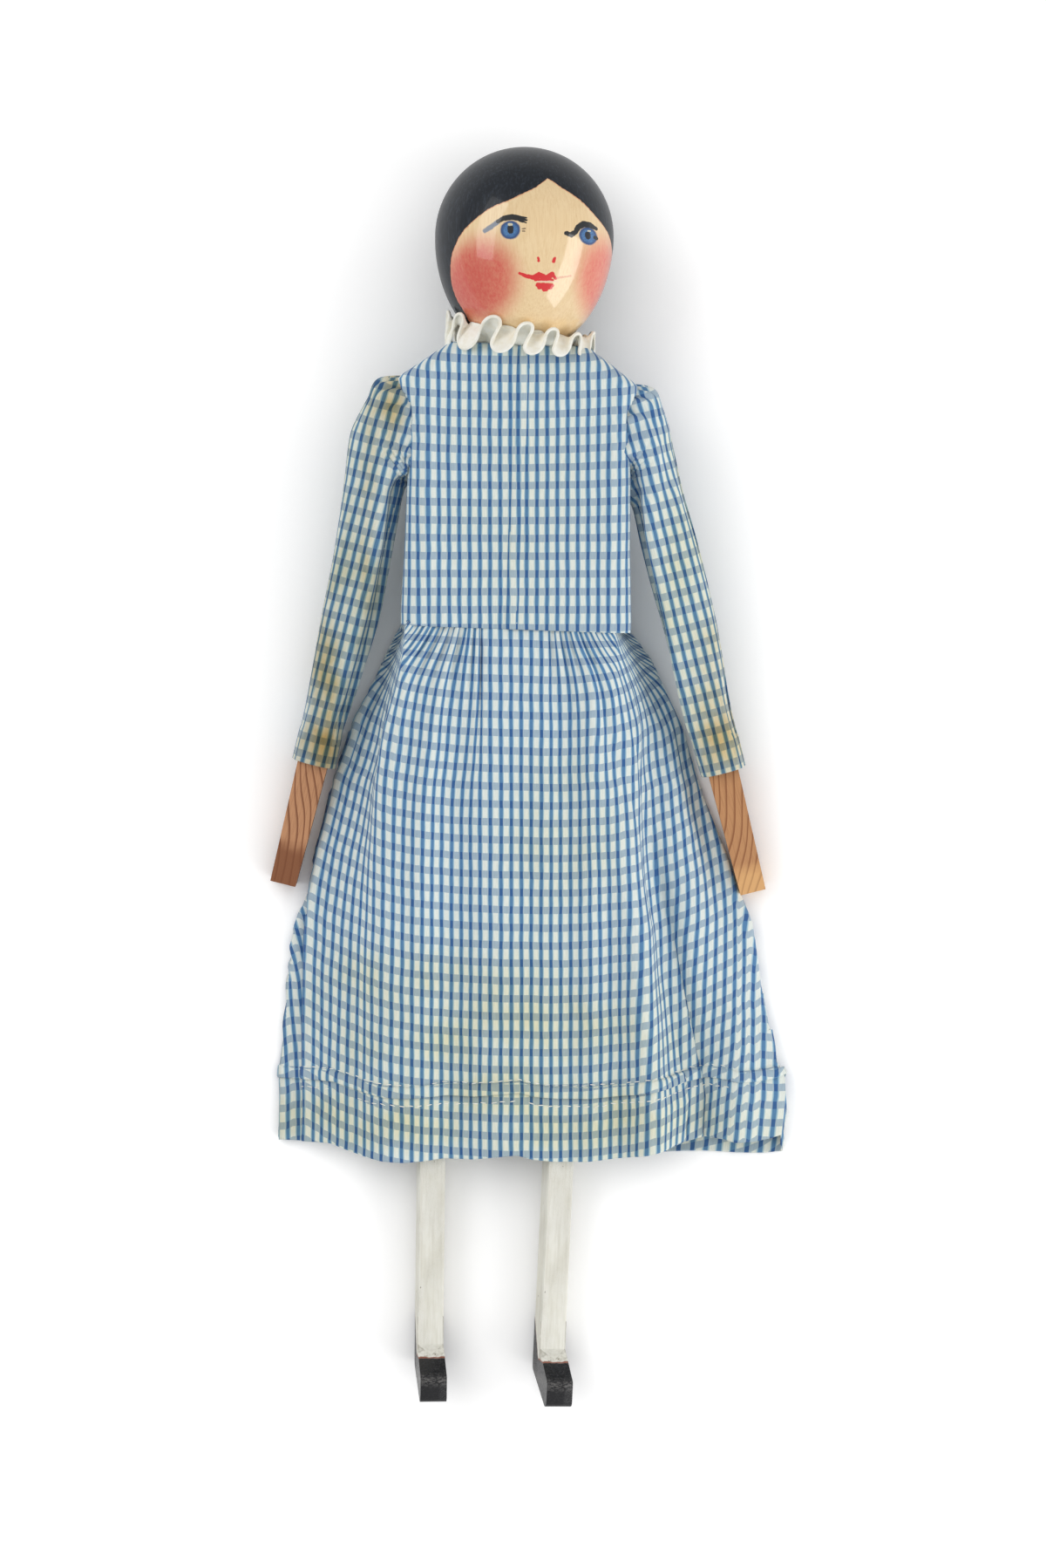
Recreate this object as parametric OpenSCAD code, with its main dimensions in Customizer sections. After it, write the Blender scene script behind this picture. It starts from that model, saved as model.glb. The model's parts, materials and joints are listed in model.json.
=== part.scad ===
// Jointed wooden peg doll in a checked dress, lying on its back.
// +Z is up and out of the doll's chest, +Y runs from its feet to its head,
// and +X is the doll's own left. The origin is on the table, under the hip line.

/* [Head] */
// Diameter of the head at its widest
head_dia = 63.5; // [54:0.5:74]
// Depth from the head's widest place down to its flat underside
chin_drop = 36.75; // [33:0.25:41]
// Depth at which the sides of the lower head would meet
chin_reach = 41.5; // [38:0.5:48]
// Gap between the head and the top of the body block
neck_gap = 2.5; // [1.5:0.5:5]
// Diameter of the dowel that carries the head
neck_dowel_dia = 12; // [8:0.5:15]
// Depth of the dowel's hole in the head
head_hole_depth = 24; // [16:1:30]
// Depth of the dowel's hole in the body block
neck_hole_depth = 22; // [14:1:30]

/* [Body block] */
// Width of the body block
body_width = 72; // [62:1:84]
// Thickness at the chest
chest_thick = 30; // [25:0.5:36]
// Thickness at the hips
hip_thick = 26; // [22:0.5:31]
// Height of the block's top above the hip pegs
body_height = 150; // [130:1:170]
// Wood below the hip pegs
hip_edge = 8; // [7:0.5:9.5]
// How far the shoulders slope down from the neck
shoulder_slope = 10; // [7:0.5:13]
// Width of the level top under the neck
neck_seat_width = 50; // [42:1:56]
// Rounding of the block's edges
body_round = 5; // [3:0.5:6]
// Wood outside each leg slot
cheek_wall = 5.5; // [4.5:0.5:7]

/* [Arms] */
// Depth of the shoulder pegs below the top of the block
shoulder_drop = 23; // [19:0.5:28]
// Length of an arm from its shoulder peg to its square end
arm_length = 176; // [150:1:200]
// Distance from the shoulder peg to the elbow peg
elbow_reach = 82; // [70:1:96]
// Width of the arm, seen from the front
arm_width = 11; // [9.5:0.1:13]
// Width of the square end, seen from the front
wrist_width = 9.3; // [8:0.1:11]
// Length of the taper above the square end
wrist_taper = 48; // [36:1:58]
// Thickness of the arm
arm_thick = 9.5; // [8:0.1:11.3]
// Gap between the left arm and the edge of the skirt beside it
left_arm_clear = 0.5; // [0.4:0.1:3]
// Gap between the right arm and the edge of the skirt beside it
right_arm_clear = 2.9; // [1:0.1:6]

/* [Legs] */
// Side of the square leg
leg_side = 9.5; // [8:0.1:11.3]
// Bevel along the leg's four edges
leg_bevel = 0.5; // [0.3:0.1:0.9]
// Distance from the hip peg to the knee peg
knee_reach = 109; // [95:1:125]
// Distance from the knee peg to the crease above the shoe
shin_length = 90; // [78:1:104]
// Turn of the left leg about its own length
left_leg_roll = 13; // [4:1:15]
// Turn of the right leg about its own length
right_leg_roll = 7; // [4:1:15]
// Angle of the left leg towards the middle
left_leg_lean = 0.6; // [0:0.1:2]
// Angle of the right leg towards the middle
right_leg_lean = 1.4; // [0:0.1:2]

/* [Shoes] */
// Height of the shoe from its crease to the back of its sole
heel_drop = 19.5; // [17:0.5:23]
// Height of the shoe from its crease to the front of its sole
toe_drop = 28.5; // [26:0.5:31]
// How far the toe stands in front of the leg
toe_rise = 14; // [11:0.5:16.5]
// Thickness of the toe
toe_thick = 8; // [7:0.5:9.5]
// Height at which the instep leaves the leg
instep_drop = 10; // [8:0.5:12]
// Rounding of the heel and the toe
shoe_round = 2.2; // [1.5:0.1:2.6]

/* [Pegs and joints] */
// Diameter of the shoulder and elbow pegs
arm_peg_dia = 3.5; // [2.5:0.1:4.2]
// Diameter of the hip and knee pegs
leg_peg_dia = 4; // [3:0.1:4.8]
// Depth of the shoulder and hip pegs in the middle of the block
peg_bite = 8; // [6:0.5:9.5]
// Thickness of the tongues in the elbows and knees
tongue = 3.4; // [2.8:0.1:4]
// Side and end clearance in a forked joint
joint_gap = 0.3; // [0.25:0.05:0.4]
// Radial clearance where a limb turns on its peg
turning_gap = 0.05; // [0.04:0.01:0.06]
// Radial clearance where a peg is glued
glue_gap = 0.02; // [0.01:0.01:0.03]

/* [Dress] */
// Thickness of the cloth
cloth = 0.6; // [0.5:0.05:0.7]
// Clearance between the cloth and the wood
cloth_gap = 0.3; // [0.3:0.05:0.4]
// Height of the waist seam above the hip pegs
waist_height = 52; // [44:1:62]
// Length of the skirt from waist seam to hem
skirt_length = 193; // [165:1:225]
// Width of the skirt along its hem, lying flat
hem_width = 184; // [170:1:216]
// How far the hem rises towards the skirt's sides
hem_lift = 10; // [6:1:13]
// How far the back of the hem stands off the table
hem_rise = 0.9; // [0.6:0.1:1.5]
// Height of the folds in the skirt
fold_height = 6; // [4:0.5:8]
// Height of the cloth where it turns under at the skirt's sides
side_fold = 4; // [3:0.5:5]
// Length of the sleeve from the shoulder peg to the cuff
sleeve_length = 131; // [112:1:150]
// Ease of the sleeve outside the arm
sleeve_ease_width = 8; // [6.7:0.1:9.5]
// Height of the armhole
armhole_height = 34; // [29:0.5:40]
// Depth of the armhole from front to back
armhole_depth = 25; // [21:0.5:27]
// Radius of the hole in the bodice's side
armhole_radius = 12.5; // [11:0.5:13.5]
// Diameter of the hole in the bodice's neck
neck_hole_dia = 24; // [20:0.5:26]
// Width of the frill's collar strip, from its seam to its edge
frill_reach = 11; // [9:0.5:13]
// Clearance between the frill's edge and the head
frill_clear = 1.2; // [0.8:0.1:3]
// Depth of the frill's pleats
frill_pleat = 2.6; // [2.2:0.1:3.4]
// Number of pleats round the frill
frill_pleats = 24; // [18:1:28]

/* [Hidden] */

LEFT = 1;
RIGHT = -1;
cut_over = 5;
smooth = 96;
block_facets = 24;
tongue_root_share = 0.25;

skin_colour = [0.90, 0.80, 0.63];
wood_colour = [0.72, 0.48, 0.32];
white_paint = [0.87, 0.86, 0.80];
peg_colour = [0.80, 0.65, 0.45];
cloth_colour = [0.66, 0.74, 0.82];
frill_colour = [0.93, 0.92, 0.85];

head_r = head_dia / 2;
head_reach = body_height + neck_gap + chin_drop;
body_half = body_width / 2;
leg_half = leg_side / 2;
arm_half = arm_width / 2;
knuckle = arm_thick / 2;
shin_reach = knee_reach + shin_length;
hip_offset = body_half - cheek_wall - joint_gap - leg_half;
shoulder_offset = body_half + joint_gap + arm_half;
shoulder_height = body_height - shoulder_drop;
table_gap = cloth + cloth_gap;

// Tilt at which a bar with its far end at reach, and with a half thickness of drop,
// comes down to the table from a height
function tilt(height, reach, drop) =
    asin(height / norm([reach, drop])) - atan2(drop, reach);

// The block lies on the cloth at its lower back edge, and the head lies on the table
function block_tilt(height) = tilt(
    height - table_gap - body_round,
    head_reach + hip_edge - body_round,
    hip_thick / 2 - body_round
);
level_tilt = block_tilt(head_r);
head_z = norm([chin_reach * sin(level_tilt), head_r * cos(level_tilt)]);
body_tilt = block_tilt(head_z);
hip_z = head_z - head_reach * sin(body_tilt);
function along_body(y, z) = [
    y * cos(body_tilt) - z * sin(body_tilt),
    hip_z + y * sin(body_tilt) + z * cos(body_tilt)
];
shoulder_at = along_body(shoulder_height, 0);

// Angle of an arm out from the body, at which it lies beside the skirt's edge
arm_steps = 60;
beside_skirt_share = 0.4;
function splay(side) = max([for (i = [0:arm_steps]) let(
    down = arm_length * (beside_skirt_share + (1 - beside_skirt_share) * i / arm_steps),
    share = (waist_height * cos(body_tilt) - shoulder_at[0] + down) / (skirt_length - hem_lift),
    out = skirt_edge(share, side) + arm_clear(side) - shoulder_offset,
    reach = norm([out, down]),
    taper = min(1, (arm_length - reach) / wrist_taper),
    half = wrist_width / 2 + (arm_width - wrist_width) / 2 * taper
) if (reach < arm_length) atan2(out, down) + asin(half / reach)]);

// Per side values
function arm_clear(side) = side == LEFT ? left_arm_clear : right_arm_clear;
function roll(side) = side == LEFT ? left_leg_roll : right_leg_roll;
function lean(side) = side == LEFT ? left_leg_lean : right_leg_lean;
function arm_tilt(side) = tilt(
    shoulder_at[1],
    arm_length * cos(splay(side)) + wrist_width / 2 * sin(splay(side)),
    knuckle
);
function leg_drop(side) = leg_half * (sin(roll(side)) + cos(roll(side)));
function leg_tilt(side) =
    tilt(hip_z, shin_reach + heel_drop - shoe_round, leg_drop(side));

module body_frame() {
    translate([0, 0, hip_z]) rotate([body_tilt, 0, 0]) children();
}

// Square to the shoulder pegs
module shoulder_frame(side) {
    translate([side * shoulder_offset, shoulder_at[0], shoulder_at[1]])
        rotate([arm_tilt(side), 0, 0]) children();
}

// The arm runs along -Y
module arm_frame(side) {
    shoulder_frame(side) rotate([0, 0, side * splay(side)]) children();
}

// The leg runs along -Y
module leg_frame(side) {
    translate([side * hip_offset, 0, hip_z]) rotate([leg_tilt(side), 0, 0])
        rotate([0, 0, -side * lean(side)]) rotate([0, roll(side), 0]) children();
}

// A cylinder along X, from x = from to x = to
module rod_x(r, from, to) {
    translate([from, 0, 0]) rotate([0, 90, 0]) cylinder(r = r, h = to - from, $fn = smooth);
}

module box_x(x, y0, y1, z0, z1) {
    translate([-x, y0, z0]) cube([2 * x, y1 - y0, z1 - z0]);
}

// Points of a round corner, from angle a to angle b
function arc(centre, r, a, b, steps = 6) =
    [for (i = [0:steps]) centre + r * [cos(a + (b - a) * i / steps), sin(a + (b - a) * i / steps)]];

// A stick of w by t with bevelled edges, from y = 0 down to y = -length
module stick(w, t, bevel, from, length) {
    x = w / 2;
    z = t / 2;
    translate([0, from, 0]) rotate([90, 0, 0]) linear_extrude(length + from)
        polygon([
            [x - bevel, -z], [x, bevel - z], [x, z - bevel], [x - bevel, z],
            [bevel - x, z], [-x, z - bevel], [-x, bevel - z], [bevel - x, -z]
        ]);
}

// The upper half of a limb: a round top on the first peg and a fork round the second.
// bend is 1 where the joint folds to the front and -1 where it folds to the back, and
// the fork's other corner stays square, as the stop that keeps the joint from
// folding the wrong way
module forked_stick(w, t, bevel, reach, bend, first_hole, second_hole) {
    r = t / 2;
    far = reach + r;
    difference() {
        intersection() {
            stick(w, t, bevel, r, far);
            union() {
                rod_x(r, -w, w);
                box_x(w, -reach, 0, -t, t);
                translate([0, -reach, 0]) rod_x(r, -w, w);
                if (bend > 0) box_x(w, -far, -reach, -t, 0);
                else box_x(w, -far, -reach, 0, t);
            }
        }
        if (first_hole > 0) rod_x(first_hole, -w, w);
        translate([0, -reach, 0]) rod_x(second_hole, -w, w);
        box_x(tongue / 2 + joint_gap, -far - cut_over, joint_gap + r - reach, -t, t);
    }
}

// The tongue at the top of a forearm or shin, from its peg to its shoulders
module tongue_end(w, t, hole) {
    r = t / 2;
    difference() {
        union() {
            rod_x(r, -tongue / 2, tongue / 2);
            box_x(tongue / 2, -r - joint_gap - tongue_root_share * t, 0, -r, r);
        }
        rod_x(hole, -w, w);
    }
}
module block_corner(x, y, thick, grow) {
    for (side = [LEFT, RIGHT], face = [1, -1])
        translate([side * (x - body_round), y, face * (thick / 2 - body_round)])
            sphere(body_round + grow, $fn = block_facets);
}

module body_block(grow) {
    hull() {
        block_corner(body_half, body_round - hip_edge, hip_thick, grow);
        block_corner(body_half, body_height - shoulder_slope - body_round, chest_thick, grow);
        block_corner(neck_seat_width / 2, body_height - body_round, chest_thick, grow);
    }
}

// Half of the head's outline: round at the crown, and drawn out below its widest place
crown_steps = 16;
chin_steps = 14;
chin_angle = asin(chin_drop / chin_reach);
head_outline = concat(
    [[0, -chin_drop]],
    [for (i = [chin_steps:-1:1]) let(a = chin_angle * i / chin_steps)
        [head_r * cos(a), -chin_reach * sin(a)]],
    [for (i = [0:crown_steps - 1]) let(a = 90 * i / crown_steps) head_r * [cos(a), sin(a)]],
    [[0, head_r]]
);

module head() {
    color(skin_colour) body_frame() translate([0, head_reach, 0]) difference() {
        rotate([-90, 0, 0]) rotate_extrude($fn = smooth) polygon(head_outline);
        translate([0, head_hole_depth - chin_drop, 0]) rotate([90, 0, 0])
            cylinder(d = neck_dowel_dia + 2 * turning_gap, h = head_hole_depth + cut_over, $fn = smooth);
    }
}

module neck_dowel() {
    length = neck_hole_depth + neck_gap + head_hole_depth - 2 * joint_gap;
    color(peg_colour) body_frame() translate([0, body_height - neck_hole_depth + joint_gap, 0])
        rotate([-90, 0, 0]) cylinder(d = neck_dowel_dia, h = length, $fn = smooth);
}

module torso() {
    color(wood_colour) difference() {
        body_frame() body_block(0);
        body_frame() translate([0, body_height + cut_over, 0]) rotate([90, 0, 0])
            cylinder(d = neck_dowel_dia + 2 * glue_gap, h = neck_hole_depth + cut_over, $fn = smooth);
        for (side = [LEFT, RIGHT]) {
            body_frame() translate([side * body_half, shoulder_height, 0])
                rod_x(arm_peg_dia / 2 + turning_gap, -peg_bite, peg_bite);
            leg_frame(side) {
                box_x(leg_half + joint_gap, -hip_edge - cut_over, leg_half + joint_gap,
                    -leg_half - joint_gap, hip_thick);
                hip_hole(side);
            }
        }
    }
}

// The hip peg's ends, seen in its leg's frame
hip_peg_outer = leg_half + cheek_wall;
hip_peg_inner = leg_half + joint_gap + peg_bite;

module hip_hole(side) {
    outer = hip_peg_outer + cut_over;
    inner = hip_peg_inner + joint_gap;
    if (side == LEFT) rod_x(leg_peg_dia / 2 + glue_gap, -inner, outer);
    else rod_x(leg_peg_dia / 2 + glue_gap, -outer, inner);
}

module hip_peg(side) {
    color(peg_colour) leg_frame(side)
        if (side == LEFT) rod_x(leg_peg_dia / 2, -hip_peg_inner, hip_peg_outer);
        else rod_x(leg_peg_dia / 2, -hip_peg_outer, hip_peg_inner);
}

module knee_peg(side) {
    color(peg_colour) leg_frame(side) translate([0, -knee_reach, 0])
        rod_x(leg_peg_dia / 2, -leg_half, leg_half);
}

module thigh(side) {
    color(white_paint) leg_frame(side)
        forked_stick(leg_side, leg_side, leg_bevel, knee_reach, -1,
            leg_peg_dia / 2 + turning_gap, leg_peg_dia / 2 + glue_gap);
}

// The shoe's outline from the side: how far down from the crease, and how far
// in front of the leg's middle
function shoe_outline() = let(
    toe_z = leg_half + toe_rise,
    sole_run = toe_drop - heel_drop,
    r = shoe_round,
    sole_slope = atan2(sole_run, toe_rise + leg_side - 2 * r)
) concat(
    [[0, -leg_half]],
    arc([heel_drop - r, r - leg_half], r, -90, -sole_slope),
    arc([toe_drop - r, toe_z - r], r, -sole_slope, 80),
    arc([toe_drop - toe_thick, toe_z - r], r, 100, 150),
    [[instep_drop, leg_half], [0, leg_half]]
);

module shoe() {
    rotate([90, 0, 90]) translate([0, 0, -leg_half])
        linear_extrude(leg_side) polygon([for (p = shoe_outline()) [-p[0], p[1]]]);
}

module lower_leg(side) {
    top = leg_half + joint_gap;
    color(white_paint) leg_frame(side) translate([0, -knee_reach, 0]) {
        tongue_end(leg_side, leg_side, leg_peg_dia / 2 + turning_gap);
        translate([0, -top, 0]) stick(leg_side, leg_side, leg_bevel, 0, shin_length - top);
        translate([0, -shin_length, 0]) shoe();
    }
}

module shoulder_peg(side) {
    color(peg_colour) translate([0, shoulder_at[0], shoulder_at[1]])
        if (side == LEFT) rod_x(arm_peg_dia / 2, body_half - peg_bite + joint_gap,
            shoulder_offset + arm_half);
        else rod_x(arm_peg_dia / 2, -shoulder_offset - arm_half,
            peg_bite - body_half - joint_gap);
}

module upper_arm(side) {
    color(wood_colour) difference() {
        arm_frame(side) forked_stick(arm_width, arm_thick, leg_bevel, elbow_reach, 1,
            0, arm_peg_dia / 2 + glue_gap);
        shoulder_frame(side) rod_x(arm_peg_dia / 2 + glue_gap, -arm_width, arm_width);
        shoulder_frame(side) translate([-side * (arm_half + arm_width), 0, 0])
            cube([2 * arm_width, 2 * arm_length, 2 * arm_width], center = true);
    }
}

module forearm(side) {
    top = knuckle + joint_gap;
    length = arm_length - elbow_reach;
    wrist = wrist_width / 2;
    color(wood_colour) arm_frame(side) translate([0, -elbow_reach, 0]) {
        tongue_end(arm_width, arm_thick, arm_peg_dia / 2 + turning_gap);
        translate([0, 0, -knuckle]) linear_extrude(arm_thick) polygon([
            [-arm_half, -top], [-arm_half, wrist_taper - length], [-wrist, -length],
            [wrist, -length], [arm_half, wrist_taper - length], [arm_half, -top]
        ]);
    }
}

module elbow_peg(side) {
    color(peg_colour) arm_frame(side) translate([0, -elbow_reach, 0])
        rod_x(arm_peg_dia / 2, -arm_half, arm_half);
}

module bodice() {
    waist = waist_height + cloth_gap;
    color(cloth_colour) difference() {
        body_frame() body_block(cloth_gap + cloth);
        body_frame() body_block(cloth_gap);
        body_frame() box_x(body_width, -body_height, waist, -body_width, body_width);
        body_frame() translate([0, body_height, 0]) rotate([90, 0, 0])
            cylinder(d = neck_hole_dia, h = 2 * cut_over, center = true, $fn = smooth);
        for (side = [LEFT, RIGHT]) body_frame() translate([side * body_half, shoulder_height, 0])
            rod_x(armhole_radius, -cut_over, cut_over);
    }
}

// A closed sheet from two nets of points of the same size, both closed round their rows
function sheet_faces(rows, n) = let(m = rows * n) concat(
    [for (j = [0:rows - 2], i = [0:n - 1], k = [0, 1]) let(
        a = j * n + i, b = j * n + (i + 1) % n) k == 0 ? [a, b, b + n] : [a, b + n, a + n]],
    [for (j = [0:rows - 2], i = [0:n - 1], k = [0, 1]) let(
        a = m + j * n + i, b = m + j * n + (i + 1) % n) k == 0 ? [a, b + n, b] : [a, a + n, b + n]],
    [for (i = [0:n - 1], k = [0, 1]) let(
        a = i, b = (i + 1) % n) k == 0 ? [b, a, m + a] : [b, m + a, m + b]],
    [for (i = [0:n - 1], k = [0, 1]) let(
        e = (rows - 1) * n, a = e + i, b = e + (i + 1) % n) k == 0 ? [a, b, m + b] : [a, m + b, m + a]]
);

module sheet(outer, inner, rows, n, flip = false) {
    faces = sheet_faces(rows, n);
    polyhedron(
        points = concat(outer, inner),
        faces = flip ? [for (f = faces) [f[0], f[2], f[1]]] : faces
    );
}

// Skirt: share of its length, its left and its right edge as shares of the hem width
skirt_edge_shares = [
    [0, 0.229, 0.212], [0.07, 0.283, 0.245], [0.19, 0.346, 0.297], [0.32, 0.393, 0.337],
    [0.44, 0.438, 0.366], [0.50, 0.458, 0.372], [0.57, 0.490, 0.380], [0.69, 0.522, 0.402],
    [0.82, 0.554, 0.420], [0.92, 0.580, 0.426], [1, 0.572, 0.428]
];
// Folds: place across the front at the waist and at the hem, width, and height,
// as shares of the skirt's half width and of the fold height
skirt_fold_shares = [
    [-0.85, -0.80, 0.08, 0.7], [-0.45, -0.50, 0.10, 0.3], [-0.10, 0.05, 0.10, 0.35],
    [0.50, 0.56, 0.09, 1], [0.62, 0.69, 0.055, -0.9], [0.85, 0.84, 0.08, 0.6]
];
// Places of the rows down the skirt
skirt_row_shares = [0, 0.03, 0.08, 0.15, 0.24, 0.29, 0.34, 0.42, 0.52, 0.64, 0.76, 0.88, 1];
// Points across half of the front, those of them over the wood, and points across the back
front_points = 19;
held_points = 8;
back_points = 3;
// Where the front has come down to the skirt's side, and where its rows stand upright
side_fall_share = 0.94;
upright_share = 0.35;
// How far down the back lies flat before it rises to the hem
flat_share = 0.4;

function sum(v, i = 0) = i < len(v) ? v[i] + sum(v, i + 1) : 0;
function eased(t) = let(c = min(1, max(0, t))) c * c * (3 - 2 * c);

// The cloth comes down from the block to the legs over twice the block's thickness
function below_block(y) = eased((-y - hip_edge) / (2 * hip_thick));

// Height of the wood's front and back over the table, and its half width
function block_thick(y) =
    hip_thick + (chest_thick - hip_thick) * (y + hip_edge) / (body_height + hip_edge);
function block_front(y) = let(at = max(y, -hip_edge)) along_body(at, block_thick(at) / 2)[1];
function leg_front(y) = hip_z + min(y, 0) * sin(leg_tilt(LEFT)) + leg_drop(LEFT);
function held_front(y) = let(fall = below_block(y)) block_front(y) * (1 - fall) + leg_front(y) * fall;
function held_half(y) = let(fall = below_block(y))
    (body_half + table_gap + cloth / 2) * (1 - fall) + (hip_offset + leg_side) * fall;
function cloth_back(y) =
    max(0, along_body(max(y, -hip_edge), -block_thick(max(y, -hip_edge)) / 2)[1] - 2 * table_gap);

function skirt_edge(share, side) = max(
    body_half + 2 * table_gap,
    hem_width * lookup(share, [for (e = skirt_edge_shares) [e[0], side == LEFT ? e[1] : e[2]]])
);

function folds(u, share) = fold_height * share * sum([
    for (f = skirt_fold_shares) let(d = (u - f[0] - (f[1] - f[0]) * share) / f[2])
        f[3] * exp(-d * d)
]);

// A point k of the front lies over the wood up to held_points, and beyond it at the side
function across(k, edge, held) = sign(k) * (abs(k) <= held_points
    ? held * abs(k) / held_points
    : held + (edge - held) * (abs(k) - held_points) / (front_points - held_points));

function skirt_front(x, edge, y, share, back) = let(
    held = held_half(y),
    fall = eased((abs(x) - held) / max(edge * side_fall_share - held, cloth)),
    top = held_front(y) + cloth_gap + 2 * cloth,
    low = back + side_fold
) top * (1 - fall) + low * fall + max(folds(x / edge, share), -fall * side_fold / 3);

// A row of the skirt, which leans with the block at the waist
function skirt_row(share, inset) = let(
    y = waist_height * cos(body_tilt) - share * skirt_length,
    back = cloth_back(y) + hem_rise * eased((share - flat_share) / (1 - flat_share)),
    lean = sin(body_tilt) * (1 - eased(share / upright_share)),
    middle = along_body(waist_height, 0)[1]
) [
    for (k = [-front_points:front_points + 2 * back_points + 1]) let(
        front = k <= front_points,
        turn = back_points + 1,
        u = front ? k : front_points * (1 - (k - front_points) / turn),
        edge = skirt_edge(share, u > 0 ? LEFT : RIGHT),
        x = front ? across(k, edge, held_half(y)) : edge * u / front_points,
        z = !front ? back + inset
            : abs(k) == front_points ? back + side_fold / 2
            : skirt_front(x, edge, y, share, back) - inset,
        bow = hem_lift * share * pow(x / edge, 2)
    ) [x * (edge - inset) / edge, y + bow - lean * (z - middle), z]
];

module skirt() {
    rows = len(skirt_row_shares);
    n = len(skirt_row(0, 0));
    color(cloth_colour) sheet(
        [for (s = skirt_row_shares) each skirt_row(s, 0)],
        [for (s = skirt_row_shares) each skirt_row(s, cloth)],
        rows, n
    );
}

// Sleeve below its head: place along the sleeve, then its ease outside, inside and
// in front of the arm, as shares of the sleeve's length and of its ease
sleeve_ease_shares = [
    [0.23, 0.99, 0.30, 0.80], [0.34, 0.78, 0.42, 0.72], [0.45, 0.60, 0.50, 0.62],
    [0.57, 0.48, 0.54, 0.55], [0.69, 0.36, 0.42, 0.45], [0.80, 0.28, 0.33, 0.36],
    [0.91, 0.24, 0.22, 0.30], [1, 0.23, 0.27, 0.30]
];
// Sleeve's head: its outer edge along the arm and out from it, its inner edge down from
// the peg and out from the seam, as shares of the armhole's height, and its depth as a
// share of the armhole's depth
sleeve_head_shares = [
    [-0.24, 0.32, 0.685, 0.01, 0.96], [-0.02, 0.42, 0.70, 0.02, 1], [0.20, 0.46, 0.72, 0.03, 0.98],
    [0.42, 0.455, 0.78, 0.05, 0.92]
];
sleeve_sides = 20;
// How square the sleeve's section is: 1 is an ellipse and less is squarer
sleeve_round_share = 0.6;
// Share of the armhole above the shoulder peg
armhole_rise_share = 0.33;

function sleeve_point(side, along, out) = let(a = splay(side))
    [side * (along * sin(a) + out * cos(a)), out * sin(a) - along * cos(a)];

// A row of the sleeve round the line from its inner to its outer edge, pulled in by inset
function sleeve_row(inner, outer, depth, inset) = let(
    mid = (inner + outer) / 2,
    half = norm(outer - inner) / 2,
    dir = (outer - inner) / (2 * half)
) [for (i = [0:sleeve_sides - 1]) let(
    t = 360 * i / sleeve_sides,
    c = pow(abs(cos(t)), sleeve_round_share) * sign(cos(t)) * (half - inset),
    s = pow(abs(sin(t)), sleeve_round_share) * sign(sin(t)) * (depth - inset)
) [mid[0] + c * dir[0], mid[1] + c * dir[1], s]];

// The seam round the armhole lies beside the bodice
sleeve_seam = body_half + table_gap + cloth_gap - shoulder_offset;

function sleeve_rows(side, inset) = let(
    rise = armhole_height * armhole_rise_share
) concat(
    [sleeve_row([side * sleeve_seam, rise - armhole_height], [side * sleeve_seam, rise],
        armhole_depth / 2, inset)],
    [for (h = sleeve_head_shares) sleeve_row(
        [side * (sleeve_seam + h[3] * armhole_height), -h[2] * armhole_height],
        sleeve_point(side, h[0] * armhole_height, h[1] * armhole_height),
        h[4] * armhole_depth / 2, inset)],
    [for (e = sleeve_ease_shares) sleeve_row(
        sleeve_point(side, e[0] * sleeve_length, -arm_half - e[2] * sleeve_ease_width),
        sleeve_point(side, e[0] * sleeve_length, arm_half + e[1] * sleeve_ease_width),
        knuckle + e[3] * sleeve_ease_width, inset)]
);

module sleeve(side) {
    outer = sleeve_rows(side, 0);
    inner = sleeve_rows(side, cloth);
    color(cloth_colour) shoulder_frame(side) sheet(
        [for (r = outer) each r], [for (r = inner) each r],
        len(outer), sleeve_sides, side == RIGHT
    );
}

// Frill: a pleated strip that stands round the neck, from its seam on the bodice
// out and up beside the head, and bulges round the head's curve
frill_points = 4;
frill_row_shares = [0, 0.35, 0.7, 1];
frill_seam_share = 0.85;
// How soon the frill bulges out: 1 is a quarter of an ellipse, and less is fuller
frill_bulge_share = 0.7;
frill_top = body_height + table_gap + cloth_gap + frill_reach;
// Half width of the frill's edge, which clears the head
frill_half = head_r * sqrt(1 - pow((head_reach - frill_top) / chin_reach, 2))
    + frill_clear + cloth + frill_pleat / 2;
function frill_point(i, share, inset) = let(
    t = 360 * i / (frill_pleats * frill_points),
    seam_x = frill_seam_share * neck_seat_width / 2,
    seam_z = frill_seam_share * chest_thick / 2,
    wave = frill_pleat / 2 * share * sin(360 * i / frill_points + 45),
    bulge = pow(sin(90 * share), frill_bulge_share),
    out_x = (frill_half - seam_x) * bulge + wave - inset,
    out_z = (frill_half - seam_z) * bulge + wave - inset
) [
    (seam_x + out_x) * cos(t),
    frill_top - frill_reach * (1 - share),
    (seam_z + out_z) * sin(t)
];

module neck_frill() {
    n = frill_pleats * frill_points;
    color(frill_colour) body_frame() sheet(
        [for (s = frill_row_shares) each [for (i = [0:n - 1]) frill_point(i, s, 0)]],
        [for (s = frill_row_shares) each [for (i = [0:n - 1]) frill_point(i, s, cloth)]],
        len(frill_row_shares), n, true
    );
}

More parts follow.
